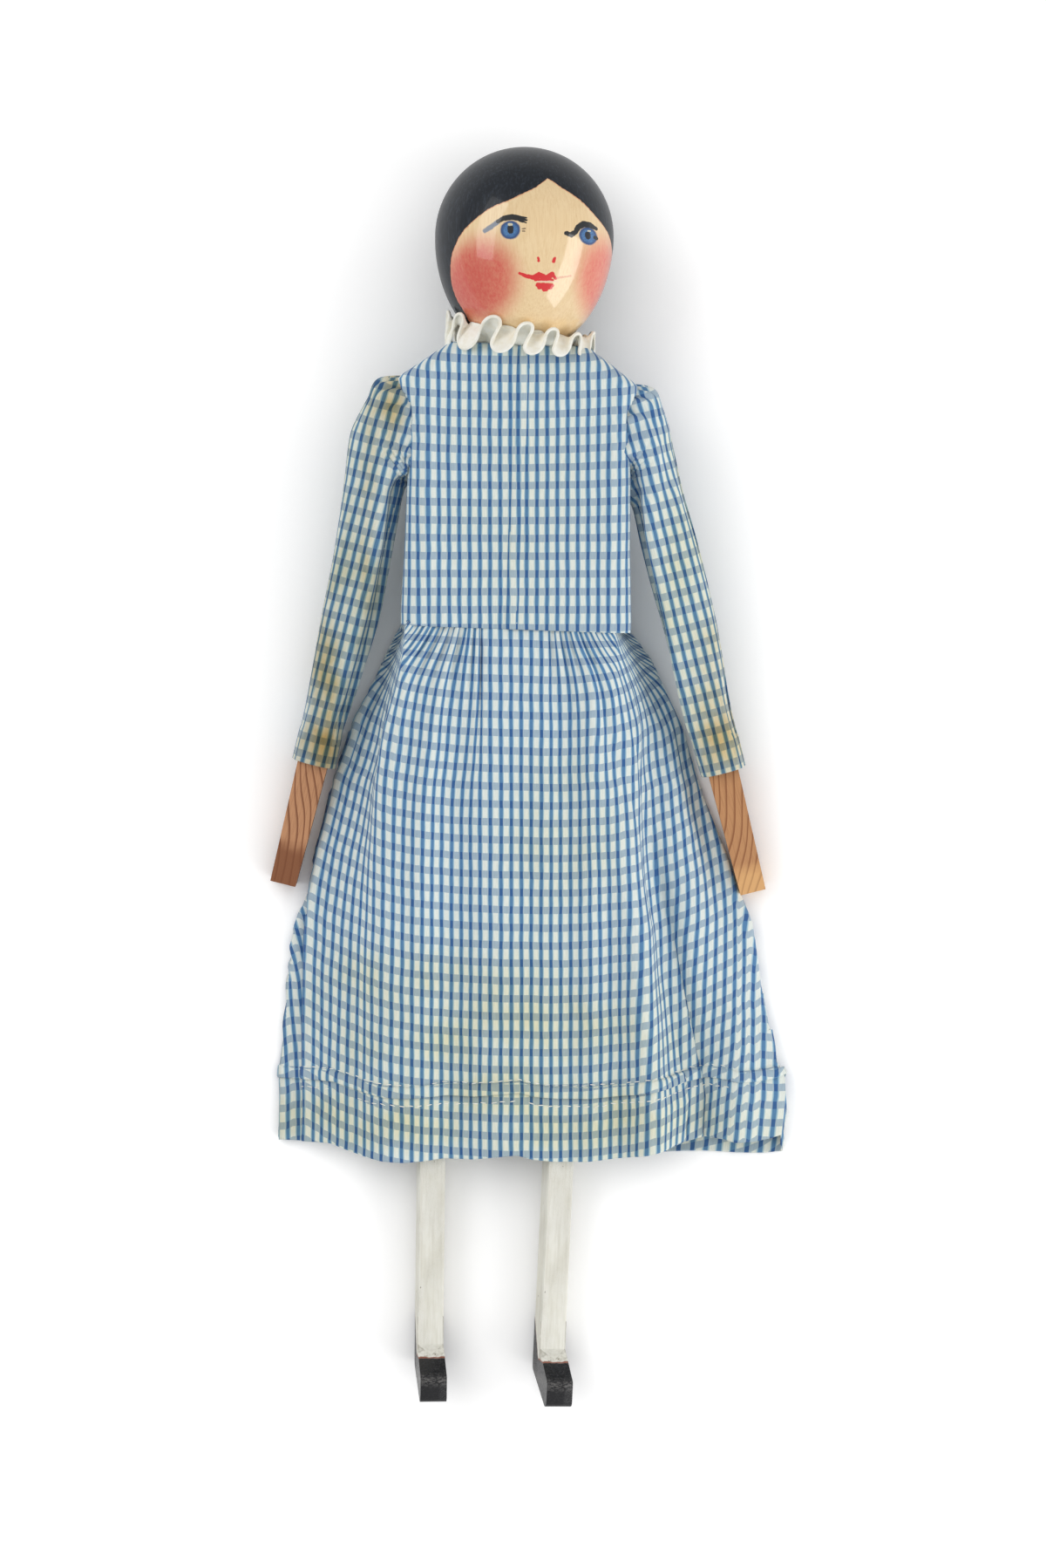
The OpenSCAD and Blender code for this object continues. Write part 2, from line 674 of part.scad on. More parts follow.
head();
neck_dowel();
torso();
upper_arm(LEFT);  // upper_arm_left
forearm(LEFT);  // forearm_left
shoulder_peg(LEFT);  // shoulder_peg_left
elbow_peg(LEFT);  // elbow_peg_left
upper_arm(RIGHT);  // upper_arm_right
forearm(RIGHT);  // forearm_right
shoulder_peg(RIGHT);  // shoulder_peg_right
elbow_peg(RIGHT);  // elbow_peg_right
thigh(LEFT);  // thigh_left
lower_leg(LEFT);  // lower_leg_left
hip_peg(LEFT);  // hip_peg_left
knee_peg(LEFT);  // knee_peg_left
thigh(RIGHT);  // thigh_right
lower_leg(RIGHT);  // lower_leg_right
hip_peg(RIGHT);  // hip_peg_right
knee_peg(RIGHT);  // knee_peg_right
bodice();
skirt();
sleeve(LEFT);  // sleeve_left
sleeve(RIGHT);  // sleeve_right
neck_frill();
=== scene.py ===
import json
import math

import bpy
import numpy as np
from mathutils import Matrix, Quaternion, Vector

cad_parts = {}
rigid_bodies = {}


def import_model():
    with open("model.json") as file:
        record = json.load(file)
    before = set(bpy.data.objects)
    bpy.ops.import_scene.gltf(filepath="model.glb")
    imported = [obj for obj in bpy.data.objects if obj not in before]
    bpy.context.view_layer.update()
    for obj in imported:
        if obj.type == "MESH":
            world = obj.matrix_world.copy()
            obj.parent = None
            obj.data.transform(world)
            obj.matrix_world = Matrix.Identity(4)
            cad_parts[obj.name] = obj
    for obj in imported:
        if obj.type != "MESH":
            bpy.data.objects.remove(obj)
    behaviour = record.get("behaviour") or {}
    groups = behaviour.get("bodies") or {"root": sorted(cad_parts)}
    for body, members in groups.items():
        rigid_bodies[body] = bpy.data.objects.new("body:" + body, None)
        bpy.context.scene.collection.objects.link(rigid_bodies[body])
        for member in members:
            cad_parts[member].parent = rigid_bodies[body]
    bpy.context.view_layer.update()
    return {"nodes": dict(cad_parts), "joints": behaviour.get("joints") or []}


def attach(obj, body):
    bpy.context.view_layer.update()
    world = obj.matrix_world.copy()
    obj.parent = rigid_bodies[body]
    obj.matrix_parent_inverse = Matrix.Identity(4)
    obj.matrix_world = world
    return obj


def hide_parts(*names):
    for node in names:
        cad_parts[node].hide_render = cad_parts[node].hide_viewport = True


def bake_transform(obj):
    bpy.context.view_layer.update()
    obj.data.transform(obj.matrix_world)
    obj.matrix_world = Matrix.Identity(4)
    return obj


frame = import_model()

# Jointed wooden doll with a painted head and a checked cotton dress, lying on its back.
# +Z is up and out of its chest, +Y runs from its feet to its head, +X is its own left.

JOINTS = {j["name"]: j for j in frame["joints"]}
MM = 0.001
LEFT, RIGHT = 1, -1
SIDE_NAMES = {LEFT: "left", RIGHT: "right"}
FABRIC = 0.5 * MM        # thickness of the dress's cotton

# ---------------------------------------------------------------- camera and photograph
PHOTO_SIZE = (1200, 1798)
PHOTO_MIDDLE = (600, 899)
PX_FOCAL = 4480.0
CAMERA_AT = (6.46 * MM, -5.71 * MM, 1420 * MM)
CAMERA_ROLL = math.radians(2.05)
ROLL_COS, ROLL_SIN = math.cos(CAMERA_ROLL), math.sin(CAMERA_ROLL)


def at(u, v, z):
    """Place in the frame, in metres, of what is seen at pixel u, v of the photograph at height z."""
    u, v, z = (np.asarray(a, float) for a in (u, v, z))
    scale = (CAMERA_AT[2] - z) / PX_FOCAL
    right, up = (u - PHOTO_MIDDLE[0]) * scale, (PHOTO_MIDDLE[1] - v) * scale
    return np.stack(np.broadcast_arrays(
        CAMERA_AT[0] + right * ROLL_COS - up * ROLL_SIN,
        CAMERA_AT[1] + right * ROLL_SIN + up * ROLL_COS, z), -1)


def smooth(t):
    t = np.clip(t, 0, 1)
    return t * t * (3 - 2 * t)


def bell(t):
    return np.exp(-t * t)


def ripple(x, y, seed, count=7, low=0.5, high=2.0):
    """Smooth uneven waves of about unit height over x and y."""
    draw = np.random.default_rng(seed)
    total = 0
    for _ in range(count):
        angle, size = draw.uniform(0, 2 * math.pi), draw.uniform(low, high)
        total = total + np.sin((x * math.cos(angle) + y * math.sin(angle)) * size + draw.uniform(0, 6.3))
    return total / math.sqrt(count / 2)


def blur(values, steps, sigma):
    """Gaussian mean of values over a place that runs on evenly."""
    reach = int(3 * sigma / steps)
    kernel = np.exp(-0.5 * (np.arange(-reach, reach + 1) * steps / sigma) ** 2)
    return np.convolve(np.pad(values, reach, mode="wrap"), kernel / kernel.sum(), mode="valid")


# ---------------------------------------------------------------- modelling helpers
def only(*objs):
    bpy.ops.object.select_all(action="DESELECT")
    for o in objs:
        o.select_set(True)
    bpy.context.view_layer.objects.active = objs[0]


def named(name, material=None):
    obj = bpy.context.view_layer.objects.active
    obj.name = obj.data.name = name
    if material:
        obj.data.materials.clear()
        obj.data.materials.append(material)
    return obj


def edit(obj, kind="VERT"):
    only(obj)
    bpy.ops.object.mode_set(mode="EDIT")
    bpy.ops.mesh.select_mode(type=kind)
    bpy.ops.mesh.select_all(action="DESELECT")


def done():
    bpy.ops.object.mode_set(mode="OBJECT")


def pick(obj, test, kind="FACE"):
    """Goes into edit mode with the faces, edges or vertices selected whose middle passes the test."""
    edit(obj, kind)
    done()
    mesh = obj.data
    if kind == "FACE":
        for f in mesh.polygons:
            f.select = bool(test(f.center, f.normal))
    elif kind == "EDGE":
        for e in mesh.edges:
            a, b = (mesh.vertices[i].co for i in e.vertices)
            e.select = bool(test((a + b) / 2, (b - a).normalized()))
    else:
        for v in mesh.vertices:
            v.select = bool(test(v.co, v.normal))
    bpy.ops.object.mode_set(mode="EDIT")


def modify(obj, kind, **values):
    only(obj)
    mod = obj.modifiers.new(kind.lower(), kind)
    for key, value in values.items():
        setattr(mod, key, value)
    bpy.ops.object.modifier_apply(modifier=mod.name)
    return obj


def smooth_by_angle(obj, degrees=40):
    only(obj)
    bpy.ops.object.shade_smooth_by_angle(angle=math.radians(degrees))


def cut_size(piece):
    """Width and height of a piece of cloth as it was cut, from its flat pattern and not from its folded shape."""
    uv = np.zeros(len(piece.data.loops) * 2)
    piece.data.uv_layers["cloth"].data.foreach_get("uv", uv)
    uv = uv.reshape(-1, 2)
    area = 0
    for face in piece.data.polygons:
        u, v = uv[list(face.loop_indices)].T
        area += abs(np.dot(u, np.roll(v, 1)) - np.dot(v, np.roll(u, 1))) / 2
    tall = float(np.ptp(uv[:, 1]))
    return float(area / 2 / tall), tall


def points_of(obj):
    co = np.zeros(len(obj.data.vertices) * 3)
    obj.data.vertices.foreach_get("co", co)
    return co.reshape(-1, 3)


def set_points(obj, co):
    obj.data.vertices.foreach_set("co", np.asarray(co, float).ravel())
    obj.data.update()


def net(name, points, uv, material, thickness=0, closed=False, offset=-1.0):
    """A cloth sheet from a grid of points, rows by columns, with its flat cloth place in metres as its UV map.
    closed joins the last column to the first."""
    rows, cols = points.shape[:2]
    bpy.ops.object.select_all(action="DESELECT")
    bpy.ops.mesh.primitive_grid_add(x_subdivisions=cols - 1, y_subdivisions=rows - 1, calc_uvs=True)
    obj = named(name, material)
    set_points(obj, points.reshape(-1, 3))
    layer = obj.data.uv_layers.active
    layer.name = "cloth"
    corner = np.zeros(len(obj.data.loops), int)
    obj.data.loops.foreach_get("vertex_index", corner)
    layer.data.foreach_set("uv", uv.reshape(-1, 2)[corner].ravel())
    if closed:
        edit(obj)
        bpy.ops.mesh.select_all(action="SELECT")
        bpy.ops.mesh.remove_doubles(threshold=1e-6)
        done()
    if thickness:
        modify(obj, "SOLIDIFY", thickness=thickness, offset=offset, use_even_offset=False)
    only(obj)
    bpy.ops.object.shade_smooth()
    return obj


def joined(name, objs):
    only(*objs)
    bpy.ops.object.join()
    return named(name)


STITCH_SIZE = (1.05 * MM, 0.2 * MM, 0.16 * MM)      # half length, half width and half thickness of a stitch
STITCH_LIFT = 0.05 * MM


def stitches(name, spots):
    """Running stitches of white thread, one at each (middle, way, out of the cloth)."""
    bpy.ops.object.select_all(action="DESELECT")
    bpy.ops.mesh.primitive_uv_sphere_add(segments=8, ring_count=6, radius=1, rotation=(0, math.pi / 2, 0))
    bpy.ops.object.transform_apply(rotation=True)
    one = named(name + "_first", thread_white)
    one.data.transform(Matrix.Diagonal((*STITCH_SIZE, 1)))
    copies = []
    for middle, way, out in spots:
        way = Vector(way).normalized()
        side = Vector(out).cross(way).normalized()
        up = way.cross(side)
        mesh = one.data.copy()
        turn = Matrix((way, side, up)).transposed().to_4x4()
        mesh.transform(Matrix.Translation(Vector(middle) + STITCH_LIFT * up) @ turn)
        copies.append(bpy.data.objects.new(name, mesh))
        bpy.context.collection.objects.link(copies[-1])
    bpy.data.objects.remove(one)
    row = joined(name, copies) if len(copies) > 1 else named(name)
    only(row)
    bpy.ops.object.shade_smooth()
    return row


def along_line(points, outs, step, gone=(), seed=1, wobble=0.0):
    """Places for stitches at even steps along a line on cloth; gone holds shares of it with none."""
    points, outs = np.asarray(points, float), np.asarray(outs, float)
    run = np.append(0, np.cumsum(np.linalg.norm(np.diff(points, axis=0), axis=1)))
    draw, spots = np.random.default_rng(seed), []
    for d in np.arange(step, run[-1] - step, step):
        d = d + draw.uniform(-0.12, 0.12) * step
        if any(lo < d / run[-1] < hi for lo, hi in gone):
            continue
        here, ahead = (np.array([np.interp(e, run, points[:, i]) for i in range(3)]) for e in (d, d + 0.3 * step))
        out = np.array([np.interp(d, run, outs[:, i]) for i in range(3)])
        across = np.cross(out, ahead - here)
        here = here + across / np.linalg.norm(across) * draw.uniform(-1, 1) * wobble
        spots.append((here, ahead - here, out))
    return spots


def outs_of(grid, row):
    """Which way the cloth faces along a row of its net."""
    along = np.gradient(grid[row], axis=0)
    down = grid[min(row + 1, len(grid) - 1)] - grid[row - 1]
    out = np.cross(down, along)
    out /= np.linalg.norm(out, axis=1, keepdims=True) + 1e-12
    return out * np.where(out[:, 2:] < 0, -1, 1)


# ---------------------------------------------------------------- colours and node helpers
def colour(r, g, b):
    """Linear colour of an 8-bit screen colour."""
    return tuple((c / 255 / 12.92 if c / 255 <= 0.04045 else ((c / 255 + 0.055) / 1.055) ** 2.4)
                 for c in (r, g, b)) + (1.0,)


def wire(tree, kind, *ins, **props):
    node = tree.nodes.new(kind)
    for key, value in props.items():
        setattr(node, key, value)
    for socket, value in zip(node.inputs, ins):
        if isinstance(value, bpy.types.NodeSocket):
            tree.links.new(value, socket)
        elif value is not None:
            socket.default_value = value
    return node


def calc(tree, how, *ins, clamp=False):
    return wire(tree, "ShaderNodeMath", *ins, operation=how, use_clamp=clamp).outputs[0]


def times(tree, *ins):
    return calc(tree, "MULTIPLY", *ins)


def plus(tree, *ins):
    return calc(tree, "ADD", *ins)


def minus(tree, *ins, clamp=False):
    return calc(tree, "SUBTRACT", *ins, clamp=clamp)


def vector(tree, how, *ins):
    node = wire(tree, "ShaderNodeVectorMath", *ins[:2], operation=how)
    if how == "SCALE":
        node.inputs["Scale"].default_value = ins[-1]
    return node.outputs["Value" if how in ("DOT_PRODUCT", "LENGTH", "DISTANCE") else "Vector"]


def ramp(tree, value, low, high, out_low=0.0, out_high=1.0, how="SMOOTHSTEP"):
    return wire(tree, "ShaderNodeMapRange", value, low, high, out_low, out_high,
                interpolation_type=how).outputs[0]


def blend_colour(tree, mask, below, above, how="MIX"):
    node = tree.nodes.new("ShaderNodeMix")
    node.data_type, node.blend_type = "RGBA", how
    for socket, value in zip((node.inputs[0], node.inputs[6], node.inputs[7]), (mask, below, above)):
        if isinstance(value, bpy.types.NodeSocket):
            tree.links.new(value, socket)
        else:
            socket.default_value = value
    return node.outputs[2]


def noise(tree, place, scale, detail=3.0, rough=0.5, out="Fac"):
    node = wire(tree, "ShaderNodeTexNoise")
    tree.links.new(place, node.inputs["Vector"])
    node.inputs["Scale"].default_value = scale
    node.inputs["Detail"].default_value = detail
    node.inputs["Roughness"].default_value = rough
    return node.outputs[out]


def stretch(tree, place, scale, location=(0, 0, 0), rotation=(0, 0, 0)):
    node = wire(tree, "ShaderNodeMapping", place)
    node.inputs["Location"].default_value = location
    node.inputs["Rotation"].default_value = rotation
    node.inputs["Scale"].default_value = scale
    return node.outputs[0]


def streaks(tree, place, scale, detail=2, rough=0.5):
    """Noise drawn out differently along each axis."""
    return noise(tree, stretch(tree, place, scale), 1.0, detail, rough)


def group(name, inputs, outputs):
    """A node group with named inputs and outputs: (tree, input sockets by name, output node)."""
    tree = bpy.data.node_groups.new(name, "ShaderNodeTree")
    kinds = {"v": "NodeSocketVector", "f": "NodeSocketFloat", "c": "NodeSocketColor"}
    for label, kind, default in inputs:
        tree.interface.new_socket(label, in_out="INPUT", socket_type=kinds[kind]).default_value = default
    for label, kind in outputs:
        tree.interface.new_socket(label, in_out="OUTPUT", socket_type=kinds[kind])
    start, end = tree.nodes.new("NodeGroupInput"), tree.nodes.new("NodeGroupOutput")
    return tree, {s.name: s for s in start.outputs}, end


def use(tree, made, *ins):
    node = tree.nodes.new("ShaderNodeGroup")
    node.node_tree = made
    for socket, value in zip(node.inputs, ins):
        if isinstance(value, bpy.types.NodeSocket):
            tree.links.new(value, socket)
        elif value is not None:
            socket.default_value = value
    return node.outputs


def material(name, roughness=0.5, **constants):
    """A material with its tree, its Principled shader and its Object coordinates."""
    mat = bpy.data.materials.new(name)
    mat.use_nodes = True
    tree = mat.node_tree
    shader = tree.nodes["Principled BSDF"]
    shader.inputs["Roughness"].default_value = roughness
    for key, value in constants.items():
        shader.inputs[key.replace("_", " ")].default_value = value
    coords = tree.nodes.new("ShaderNodeTexCoord")
    return mat, tree, shader, coords.outputs["Object"]


def bump(tree, shader, height, strength=0.3, distance=0.0003):
    node = tree.nodes.new("ShaderNodeBump")
    node.inputs["Strength"].default_value = strength
    node.inputs["Distance"].default_value = distance
    tree.links.new(height, node.inputs["Height"])
    tree.links.new(node.outputs[0], shader.inputs["Normal"])


# ---------------------------------------------------------------- shared effects
def make_dab():
    """A straight brush stroke from one point to another, wider or narrower at its end."""
    tree, got, end = group("brush_dab", [
        ("Place", "v", (0, 0, 0)), ("From", "v", (0, 0, 0)), ("To", "v", (1, 0, 0)),
        ("Start radius", "f", 1), ("End radius", "f", 1), ("Softness", "f", 0.1)], [("Mask", "f")])
    run = vector(tree, "SUBTRACT", got["To"], got["From"])
    rel = vector(tree, "SUBTRACT", got["Place"], got["From"])
    share = calc(tree, "DIVIDE", vector(tree, "DOT_PRODUCT", rel, run),
                 vector(tree, "DOT_PRODUCT", run, run), clamp=True)
    node = wire(tree, "ShaderNodeVectorMath", run, operation="SCALE")
    tree.links.new(share, node.inputs["Scale"])
    gap = vector(tree, "LENGTH", vector(tree, "SUBTRACT", rel, node.outputs[0]))
    radius = wire(tree, "ShaderNodeMapRange", share, 0.0, 1.0, got["Start radius"], got["End radius"]).outputs[0]
    over = minus(tree, gap, radius)
    half = times(tree, got["Softness"], -1.0)
    mask = wire(tree, "ShaderNodeMapRange", over, got["Softness"], half, 0.0, 1.0,
                interpolation_type="SMOOTHSTEP").outputs[0]
    tree.links.new(mask, end.inputs[0])
    return tree


def make_spot():
    """An oval spot with a soft edge."""
    tree, got, end = group("paint_spot", [
        ("Place", "v", (0, 0, 0)), ("Middle", "v", (0, 0, 0)), ("Radii", "v", (1, 1, 1)),
        ("Softness", "f", 0.1)], [("Mask", "f")])
    rel = vector(tree, "DIVIDE", vector(tree, "SUBTRACT", got["Place"], got["Middle"]), got["Radii"])
    low = plus(tree, 1.0, got["Softness"])
    high = minus(tree, 1.0, got["Softness"])
    mask = wire(tree, "ShaderNodeMapRange", vector(tree, "LENGTH", rel), low, high, 0.0, 1.0,
                interpolation_type="SMOOTHSTEP").outputs[0]
    tree.links.new(mask, end.inputs[0])
    return tree


def make_grain():
    """Growth rings and fine pores of wood that runs along Y."""
    tree, got, end = group("wood_grain", [
        ("Place", "v", (0, 0, 0)), ("Ring", "f", 600.0), ("Bend", "f", 1.0), ("Slant", "f", 0.0)],
        [("Rings", "f"), ("Pores", "f")])
    warp = streaks(tree, got["Place"], (30, 9, 30), 2, 0.5)
    bent = times(tree, minus(tree, warp, 0.5), got["Bend"])
    split = wire(tree, "ShaderNodeSeparateXYZ", got["Place"])
    aslant = plus(tree, split.outputs[0], times(tree, split.outputs[1], got["Slant"]))
    across = times(tree, aslant, got["Ring"])
    phase = plus(tree, across, times(tree, bent, 14.0))
    saw = calc(tree, "FRACT", phase)
    ring = calc(tree, "POWER", saw, 2.6)
    streak = streaks(tree, got["Place"], (2600, 110, 2600), 3, 0.6)
    tree.links.new(ring, end.inputs["Rings"])
    tree.links.new(streak, end.inputs["Pores"])
    return tree


STRIPE_STEP, STRIPE_WIDTH, HALO_WIDTH = 3.62 * MM, 1.18 * MM, 0.42 * MM
BAND_STEP, BAND_WIDTH = 6.4 * MM, 2.7 * MM
THREAD = 0.46 * MM
CREAM = colour(231, 238, 233)
STRIPE = colour(90, 136, 180)
HALO = colour(162, 197, 215)
BAND = colour(168, 189, 204)
CROSSING = colour(58, 101, 157)


def make_check():
    """Woven check: fine blue stripes with a pale halo along the cloth, grey-blue bands across it."""
    tree, got, end = group("woven_check", [("Cloth", "v", (0, 0, 0)), ("Place", "v", (0, 0, 0))],
                           [("Color", "c"), ("Height", "f")])
    wander = noise(tree, got["Place"], 90.0, 2, 0.5, "Color")
    shift = vector(tree, "SCALE", vector(tree, "SUBTRACT", wander, (0.5, 0.5, 0.5)), None, 0.0006)
    cloth = wire(tree, "ShaderNodeSeparateXYZ", vector(tree, "ADD", got["Cloth"], shift))

    def gap_from(value, step):
        """Distance from the middle of the nearest line, in metres."""
        share = calc(tree, "FRACT", plus(tree, calc(tree, "DIVIDE", value, step), 0.5))
        return times(tree, calc(tree, "ABSOLUTE", minus(tree, share, 0.5)), step)

    across = gap_from(cloth.outputs[0], STRIPE_STEP)
    along = gap_from(cloth.outputs[1], BAND_STEP)
    edge = 0.14 * MM
    stripe = ramp(tree, across, STRIPE_WIDTH / 2 + edge, STRIPE_WIDTH / 2 - edge)
    halo = ramp(tree, across, STRIPE_WIDTH / 2 + HALO_WIDTH + edge, STRIPE_WIDTH / 2 + edge)
    band = ramp(tree, along, BAND_WIDTH / 2 + edge, BAND_WIDTH / 2 - edge)
    plain = blend_colour(tree, stripe, blend_colour(tree, halo, CREAM, HALO), STRIPE)
    crossed = blend_colour(tree, stripe, BAND, CROSSING)
    check = blend_colour(tree, band, plain, crossed)
    warp = calc(tree, "SINE", times(tree, cloth.outputs[0], 2 * math.pi / THREAD))
    weft = calc(tree, "SINE", times(tree, cloth.outputs[1], 2 * math.pi / THREAD))
    weave = plus(tree, times(tree, warp, 0.6), times(tree, weft, 0.4))
    slub = streaks(tree, got["Cloth"], (2200, 260, 1), 2, 0.6)
    shade = plus(tree, times(tree, weave, 0.035),
                 ramp(tree, slub, 0.3, 0.7, 0.94, 1.03))
    lit = wire(tree, "ShaderNodeVectorMath", check, operation="SCALE")
    tree.links.new(shade, lit.inputs["Scale"])
    tree.links.new(lit.outputs[0], end.inputs["Color"])
    tree.links.new(weave, end.inputs["Height"])
    return tree


DAB, SPOT, GRAIN, CHECK = make_dab(), make_spot(), make_grain(), make_check()


# ---------------------------------------------------------------- materials
def checked_cotton(name, stains_and_shade):
    """Checked cotton with spots of staining and of painted shade: (pixel, pixel, (radius across, radius down) in mm,
    strength, tint).
    """
    mat, tree, shader, _ = material(name, 0.88, Sheen_Weight=0.12, Sheen_Roughness=0.5)
    place = wire(tree, "ShaderNodeAttribute", attribute_name="sewn_at").outputs["Vector"]
    shader.inputs["Specular IOR Level"].default_value = 0.25
    cloth = wire(tree, "ShaderNodeUVMap", uv_map="cloth").outputs[0]
    woven = use(tree, CHECK, cloth, place)
    tint = woven["Color"]
    patchy = ramp(tree, noise(tree, place, 42.0, 4, 0.6), 0.3, 0.75, 0.3, 1.0)
    for u, v, radii, strength, spot_tint in stains_and_shade:
        spot = use(tree, SPOT, place, tuple(at(u, v, 0.02)[:2]) + (0.02,),
                   tuple(r * MM for r in radii) + (1.0,), 0.75)[0]
        mask = times(tree, times(tree, spot, patchy), strength)
        tint = blend_colour(tree, mask, tint, spot_tint, "MULTIPLY")
    tree.links.new(tint, shader.inputs["Base Color"])
    bump(tree, shader, woven["Height"], 0.25, 0.00006)
    return mat


YELLOWED = colour(250, 238, 200)
TAN_STAIN = colour(235, 205, 150)
# a grey that darkens the cloth as painted shade, not a stain
SHADED = colour(206, 208, 210)
SKIRT_STAINS = [
    (640, 960, (20, 26), 0.5, YELLOWED), (590, 1210, (70, 22), 0.75, YELLOWED),
    (560, 1130, (55, 18), 0.35, YELLOWED), (470, 1120, (24, 8), 0.5, YELLOWED),
    (600, 1290, (95, 12), 0.7, YELLOWED), (400, 1290, (30, 8), 0.5, YELLOWED)]
# Staining on the sleeves, with one broad spot of painted shade in SHADED down the right sleeve
SLEEVE_STAINS_AND_SHADE = {
    RIGHT: [(452, 470, (4, 16), 1.0, TAN_STAIN), (372, 800, (5, 30), 1.0, TAN_STAIN),
            (360, 855, (12, 8), 0.8, TAN_STAIN), (405, 640, (14, 80), 0.9, YELLOWED),
            (425, 560, (3, 40), 0.7, TAN_STAIN), (372, 700, (22, 120), 0.75, SHADED)],
    LEFT: [(790, 700, (14, 80), 0.8, YELLOWED), (815, 790, (6, 26), 0.8, TAN_STAIN),
           (838, 855, (10, 12), 0.9, TAN_STAIN)]}

skirt_cotton = checked_cotton("checked_cotton_skirt", SKIRT_STAINS)
bodice_cotton = checked_cotton("checked_cotton_bodice", [(600, 560, (30, 60), 0.25, YELLOWED)])
sleeve_cotton = {side: checked_cotton("checked_cotton_sleeve_" + SIDE_NAMES[side], SLEEVE_STAINS_AND_SHADE[side])
                 for side in (LEFT, RIGHT)}


def plain_cotton(name, tone, shade):
    mat, tree, shader, place = material(name, 0.9, Sheen_Weight=0.15)
    shader.inputs["Specular IOR Level"].default_value = 0.2
    uneven = ramp(tree, noise(tree, place, 260.0, 4, 0.6), 0.3, 0.75)
    weave = streaks(tree, place, (2400, 2400, 2400), 1, 0.5)
    tree.links.new(blend_colour(tree, uneven, tone, shade), shader.inputs["Base Color"])
    bump(tree, shader, weave, 0.3, 0.0001)
    return mat


frill_cotton = plain_cotton("frill_cotton", colour(253, 252, 244), colour(242, 237, 220))
thread_white = plain_cotton("stitch_thread", colour(250, 249, 240), colour(236, 234, 222))


def bare_wood(name, light, dark, end_tint, end_from, ring, slant, place_of):
    """Rubbed bare wood, tinted from a place along Y to its end; place_of gives a Mapping that runs along Y."""
    mat, tree, shader, place = material(name, 0.5)
    local = stretch(tree, place, *place_of)
    grain = use(tree, GRAIN, local, ring, 1.0, slant)
    rings = ramp(tree, grain["Rings"], 0.25, 0.8)
    tone = blend_colour(tree, times(tree, rings, 0.9), light, dark)
    tone = blend_colour(tree, ramp(tree, grain["Pores"], 0.45, 0.8, 0.0, 0.45), tone, dark)
    if end_tint:
        along = wire(tree, "ShaderNodeSeparateXYZ", local).outputs[1]
        worn = ramp(tree, plus(tree, along, times(tree, noise(tree, place, 240.0, 2), 0.004)),
                    end_from + 0.004, end_from - 0.003)
        tone = blend_colour(tree, times(tree, worn, 0.85), tone,
                            blend_colour(tree, times(tree, rings, 0.4), end_tint, dark))
    tree.links.new(tone, shader.inputs["Base Color"])
    rough = ramp(tree, grain["Pores"], 0.3, 0.8, 0.42, 0.62)
    tree.links.new(rough, shader.inputs["Roughness"])
    bump(tree, shader, grain["Pores"], 0.25, 0.0001)
    return mat


def mapping_for(origin, rotation):
    """Scale, location and rotation of a Mapping node that puts Object coordinates in a limb's own frame."""
    back = rotation.to_matrix().inverted()
    return (1, 1, 1), tuple(-(back @ Vector(origin))), tuple(back.to_euler())


def limb_mapping(origin, end, roll):
    """A limb's own frame: its origin at the joint, -Y along the limb, and turned about that."""
    down = (Vector(end) - Vector(origin)).normalized()
    turn = Vector((0, -1, 0)).rotation_difference(down)
    return mapping_for(origin, turn @ Quaternion((0, 1, 0), roll))


LIMBS = {}
LEG_ROLL = {LEFT: math.radians(13), RIGHT: math.radians(7)}      # as in the model's source
for side, tag in SIDE_NAMES.items():
    for limb, first, second, roll in (("arm", "shoulder_", "elbow_", 0),
                                      ("leg", "hip_", "knee_", LEG_ROLL[side])):
        LIMBS[limb, side] = limb_mapping(JOINTS[first + tag]["pos_m"], JOINTS[second + tag]["pos_m"], roll)

arm_wood = {
    RIGHT: bare_wood("arm_wood_right", colour(196, 142, 102), colour(120, 68, 36), colour(124, 70, 36),
                     -160 * MM, 210.0, 0.5, LIMBS["arm", RIGHT]),
    LEFT: bare_wood("arm_wood_left", colour(196, 142, 96), colour(142, 88, 50), colour(232, 180, 120),
                    -166 * MM, 190.0, -0.6, LIMBS["arm", LEFT])}
body_wood = bare_wood("body_wood", colour(206, 166, 118), colour(170, 122, 78), None, 0, 160.0, 0.0,
                      ((1, 1, 1), (0, 0, 0), (0, 0, 0)))
peg_wood = bare_wood("peg_wood", colour(220, 186, 138), colour(186, 146, 98), None, 0, 500.0, 0.0,
                     ((1, 1, 1), (0, 0, 0), (0, 0, math.radians(90))))

SHOE_BACK, SHOE_SLOPE = -199 * MM, -1.8       # the paint's line at the leg's back, and how it falls to the front
SHOE_FRONT = 7.75 * MM                         # how far forward from the back it goes on falling
SHOE_WORN = -219.5 * MM


# Paints of the legs and shoes
LEG_WHITE = colour(243, 242, 233)
LEG_CLOUD = colour(233, 231, 218)
LEG_BRUSHED = colour(202, 198, 180)
LEG_CRACK = colour(186, 181, 165)
LEG_RUBBED = colour(150, 143, 124)
LEG_CHIP = colour(122, 112, 92)
SHOE_BLACK = colour(28, 28, 31)
SHOE_SCUFF = colour(44, 44, 47)
SHOE_RUBBED = colour(112, 110, 108)
SHOE_RIM = colour(140, 58, 22)


